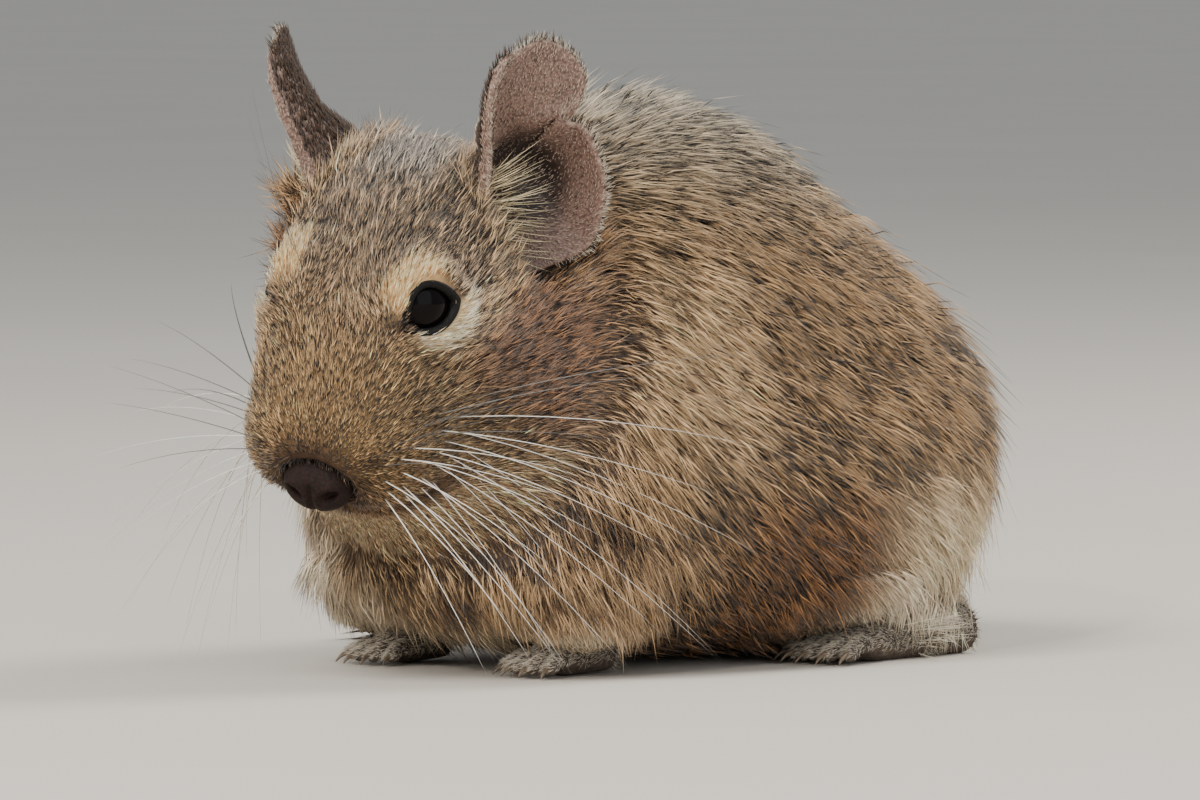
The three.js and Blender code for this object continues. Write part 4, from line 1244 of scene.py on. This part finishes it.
def ear_tufts(name):
    """Long pale hairs that fan across each ear's opening from its front, and the white fringe on its rim."""
    lines, widths, colours = [], [], []
    steps = np.array([0, 0.35, 0.7, 1])
    for ear in EARS.values():
        up, opening, rear, base = ear_frame(ear)
        for _ in range(EAR_TUFT_HAIRS):
            t = rng.random()
            start = base + rear * (-6.6 + 3.4 * (1 - t) ** 1.5) + up * (-7 + 13 * t)
            start = start + opening * (0.8 + rng.normal(0, 0.6))
            angle = math.radians(-45 + 85 * t + rng.normal(0, 9))
            way = unit(rear * math.cos(angle) + up * math.sin(angle) + opening * (0.3 + rng.normal(0, 0.08)))
            length = rng.uniform(5.5, 11)
            line = start + np.outer(steps * length, way) - np.outer(0.9 * steps**2, opening)
            lines.append(line)
            widths.append(0.16 * np.array([0.9, 1, 0.7, 0]))
            colours.append(shade("#e6d3aa") * (rng.uniform(0.6, 1.15) if rng.random() < 0.7 else 0.08))
        rim = ear_rim(ear, 401)
        wall = ear_wall(ear, rim, np.ones(len(rim)))
        centre = base + rear * 1.8 + up * 5
        for i in rng.integers(0, len(rim), EAR_RIM_HAIRS):
            if rim[i, 1] < -6:
                continue
            start = wall[i] + rng.normal(0, 0.2, 3)
            way = unit(unit(wall[i] - centre) + 0.5 * up + rng.normal(0, 0.3, 3))
            lines.append(start + np.outer(steps * rng.uniform(0.4, 1.2), way))
            widths.append(0.07 * np.array([1, 1, 0.7, 0]))
            colours.append(shade("#e8dcc6") * rng.uniform(0.6, 1.05))
    count = len(lines)
    colours = np.clip(np.array(colours), 0, 1)
    attributes = {
        "band": colours, "dark": colours * 0.8,
        "tipped": np.zeros(count), "start": np.full(count, 0.05),
    }
    ups = np.tile([0.2, -0.2, 0.95], (count, 1))
    uv = rng.random((count, 2)) * 0.9 + 0.05
    return hair_mesh(name, np.array(lines), ups, np.array(widths), steps, uv, attributes)


def tail_brush():
    """The black brush at the end of the tail: long bristly hairs that lean along it."""
    count = BRUSH_HAIRS
    share = rng.uniform(0.72, 0.995, count)
    at = (share * (len(tail_line) - 1)).astype(int)
    way = tail_way[at]
    level = unit(np.cross(way, [0, 0, 1]))
    angle = rng.uniform(0, 2 * math.pi, count)[:, None]
    away = level * np.cos(angle) + np.array([0, 0, 1]) * np.sin(angle)
    root = tail_line[at] + away * tail_radius(share)[:, None] * 0.7
    length = (7 + 9 * ramp(share, 0.72, 0.95)) * rng.uniform(0.75, 1.1, count)
    steps = np.array([0, 0.4, 0.75, 1])
    lean = rng.uniform(0.18, 0.42, count)[:, None, None]
    forward = steps[None, :, None] * way[:, None]
    sideways = lean * (steps**1.3)[None, :, None] * away[:, None]
    centres = root[:, None] + length[:, None, None] * (forward + sideways)
    centres[..., 2] = np.maximum(centres[..., 2], 0.15)
    widths = 0.3 * rng.uniform(0.8, 1.2, count)[:, None] * np.array([0.8, 1, 0.7, 0])
    band = shade("#2b211b") * rng.uniform(0.5, 1.3, count)[:, None]
    attributes = {
        "band": band, "dark": band * 0.5,
        "tipped": rng.random(count), "start": rng.uniform(0.1, 0.4, count),
    }
    uv = rng.random((count, 2)) * 0.9 + 0.05
    return hair_mesh("tail_brush", centres, away, widths, steps, uv, attributes)


# Build
COAT = hair_material("coat")
EAR_FUR = hair_material("ear_fur", roughness=0.6)
BRISTLE = hair_material("bristle", roughness=0.4, sheen=0.0)

skin_mesh = make_skin()
skin_band, skin_dark, _ = markings(points_of(skin_mesh))
put_attribute(skin_mesh, "band", "FLOAT_COLOR", skin_band)
put_attribute(skin_mesh, "dark", "FLOAT_COLOR", skin_dark)
skin = place("skin", skin_mesh, skin_material(), FLESH + ["tail_base", "tail_middle"])
unwrap(skin)

EAR_SKIN = ear_material()
for name, ear in EARS.items():
    shell = place(f"{name}_shell", make_ear(name, ear), EAR_SKIN, [name])
    unwrap(shell)
    place(f"{name}_down", ear_hair(f"{name}_down", surface_of(shell.data), ear), EAR_FUR)
place("ear_tufts", ear_tufts("ear_tufts"), EAR_FUR)

skin_corners = [vert.co for vert in skin.data.vertices]
skin_tree = BVHTree.FromPolygons(skin_corners, [face.vertices for face in skin.data.polygons])
EYE_GLOSS = eye_material()
LID_SKIN = plain_skin_material("lid_skin", "#110c0a", "#070504", 2600, 0.6)
for side, name in ((1, "left"), (-1, "right")):
    place(f"eyeball_{name}", make_eye(side), EYE_GLOSS, [f"eye_{name}"])
    place(f"lids_{name}", make_lids(side, skin_tree), LID_SKIN)
NOSE_SKIN = plain_skin_material("nose_skin", "#351c13", "#0f0705", 2200, 0.75)
PAW_SKIN = plain_skin_material("paw_skin", "#85766a", "#463b34", 1800, 0.7)
place("nose_pad", make_nose(), NOSE_SKIN, ["nose"])
place("claws", make_claws(), horn_material("claw", "#8a7660", "#2c221b"))
feet = place("feet", make_feet(), PAW_SKIN, FEET)
unwrap(feet)
place("foot_hair", foot_hair(surface_of(feet.data)), EAR_FUR)
place("whiskers", make_whiskers(), BRISTLE)
place("tail_brush", tail_brush(), BRISTLE, ["tail_tip"])


# Coat: each piece takes its own share of the skin
def haired(points):
    """1 where the skin grows hair, and less at the soles, lids, nose and lips."""
    local = to_head(points)
    share = ramp(points[:, 2], 0.1, 0.6)
    for side in SIDES:
        share = share * ramp(past_lids(points, side)[0], 0.4, 0.7)
    share = share * ramp(np.linalg.norm((local - NOSE_AT) / NOSE_HALF, axis=1), 0.9, 1.0)
    lip = np.abs(local[:, 2] - mouth_height(local[:, 1])) < 0.6
    return share * np.where(lip & (local[:, 1] < -21) & (local[:, 2] < -9), 0.1, 1)


skin_surface = surface_of(skin.data)
middle = skin_surface["middle"]
open_skin = haired(middle)
is_head = around_head(middle) > 0.5
is_face = is_head & (to_head(middle)[:, 1] < -6)
is_tail = on_tail(middle)[0] > 0.5
is_body = ~is_head & ~is_tail
x, y = middle[:, 0], middle[:, 1]
REGIONS = {
    "face": (44000, 3500, is_face),
    "crown": (30000, 6000, is_head & ~is_face),
    "shoulder_left": (24000, 10000, is_body & (x > 0) & (y < -8)),
    "shoulder_right": (15000, 7000, is_body & (x <= 0) & (y < -8)),
    "flank_left": (24000, 10000, is_body & (x > 0) & (y >= -8) & (y < 22)),
    "flank_right": (16000, 7500, is_body & (x <= 0) & (y >= -8) & (y < 22)),
    "rump_left": (22000, 10000, is_body & (x > 0) & (y >= 22)),
    "rump_right": (15000, 7000, is_body & (x <= 0) & (y >= 22)),
    "tail": (4000, 2500, is_tail),
}
for name, (fine, long, inside) in REGIONS.items():
    coat_piece(f"down_{name}", skin_surface, open_skin * inside, fine, guard=False)
    coat_piece(f"guard_{name}", skin_surface, open_skin * inside, long, guard=True)


# Floor, light and camera
def make_floor():
    bm = bmesh.new()
    bmesh.ops.create_grid(bm, x_segments=1, y_segments=1, size=14)
    floor = bpy.data.objects.new("floor", mesh_of(bm, "floor"))
    bpy.context.scene.collection.objects.link(floor)
    made, tree, shader = material("floor", Roughness=0.8, Specular_IOR_Level=0.2)
    mottle = mix_colour(tree, pattern(tree, "Noise", 6, 3), rgba("#cfc8bc"), rgba("#d8d1c6"))
    tree.links.new(mottle, shader.inputs["Base Color"])
    floor.data.materials.append(made)


def make_light(name, at, size, watts, colour):
    light = bpy.data.lights.new(name, "AREA")
    light.size = size
    light.energy = watts
    light.color = colour
    lamp = bpy.data.objects.new(name, light)
    lamp.location = at
    lamp.rotation_mode = "QUATERNION"
    lamp.rotation_quaternion = (Vector((0, 0, 0.04)) - Vector(at)).to_track_quat("-Z", "Y")
    bpy.context.scene.collection.objects.link(lamp)


make_floor()
make_light("key", (0.1, -0.8, 1.0), 0.45, 10, (1, 0.96, 0.9))
make_light("fill", (0.9, -0.3, 0.35), 0.9, 3, (0.92, 0.96, 1))
make_light("front", (-0.3, -0.9, 0.22), 0.6, 3, (1, 0.97, 0.92))
make_light("sun", (0.42, -0.85, 0.55), 0.04, 3, (1, 0.97, 0.92))
make_light("rim", (0.3, 0.8, 0.75), 0.4, 10, (1, 0.97, 0.93))
world = bpy.data.worlds.new("studio")
bpy.context.scene.world = world
world.use_nodes = True
world.node_tree.nodes["Background"].inputs[0].default_value = (0.75, 0.8, 0.86, 1)
world.node_tree.nodes["Background"].inputs[1].default_value = 0.6


def make_camera():
    azimuth, elevation = math.radians(CAMERA["azimuth"]), math.radians(CAMERA["elevation"])
    level = Vector((math.sin(azimuth), -math.cos(azimuth), 0)) * math.cos(elevation)
    back = level + Vector((0, 0, math.sin(elevation)))
    data = bpy.data.cameras.new("camera")
    data.sensor_width = SENSOR
    data.lens = CAMERA["pixels_per_mm"] * CAMERA["distance"] / IMAGE_WIDTH * SENSOR
    data.clip_start, data.clip_end = 0.05, 20
    camera = bpy.data.objects.new("camera", data)
    target = Vector(to_frame(CAMERA["target"]))
    camera.location = target + back * CAMERA["distance"] * MM
    camera.rotation_mode = "QUATERNION"
    camera.rotation_quaternion = (-back).to_track_quat("-Z", "Y")
    bpy.context.scene.collection.objects.link(camera)
    bpy.context.scene.camera = camera


make_camera()
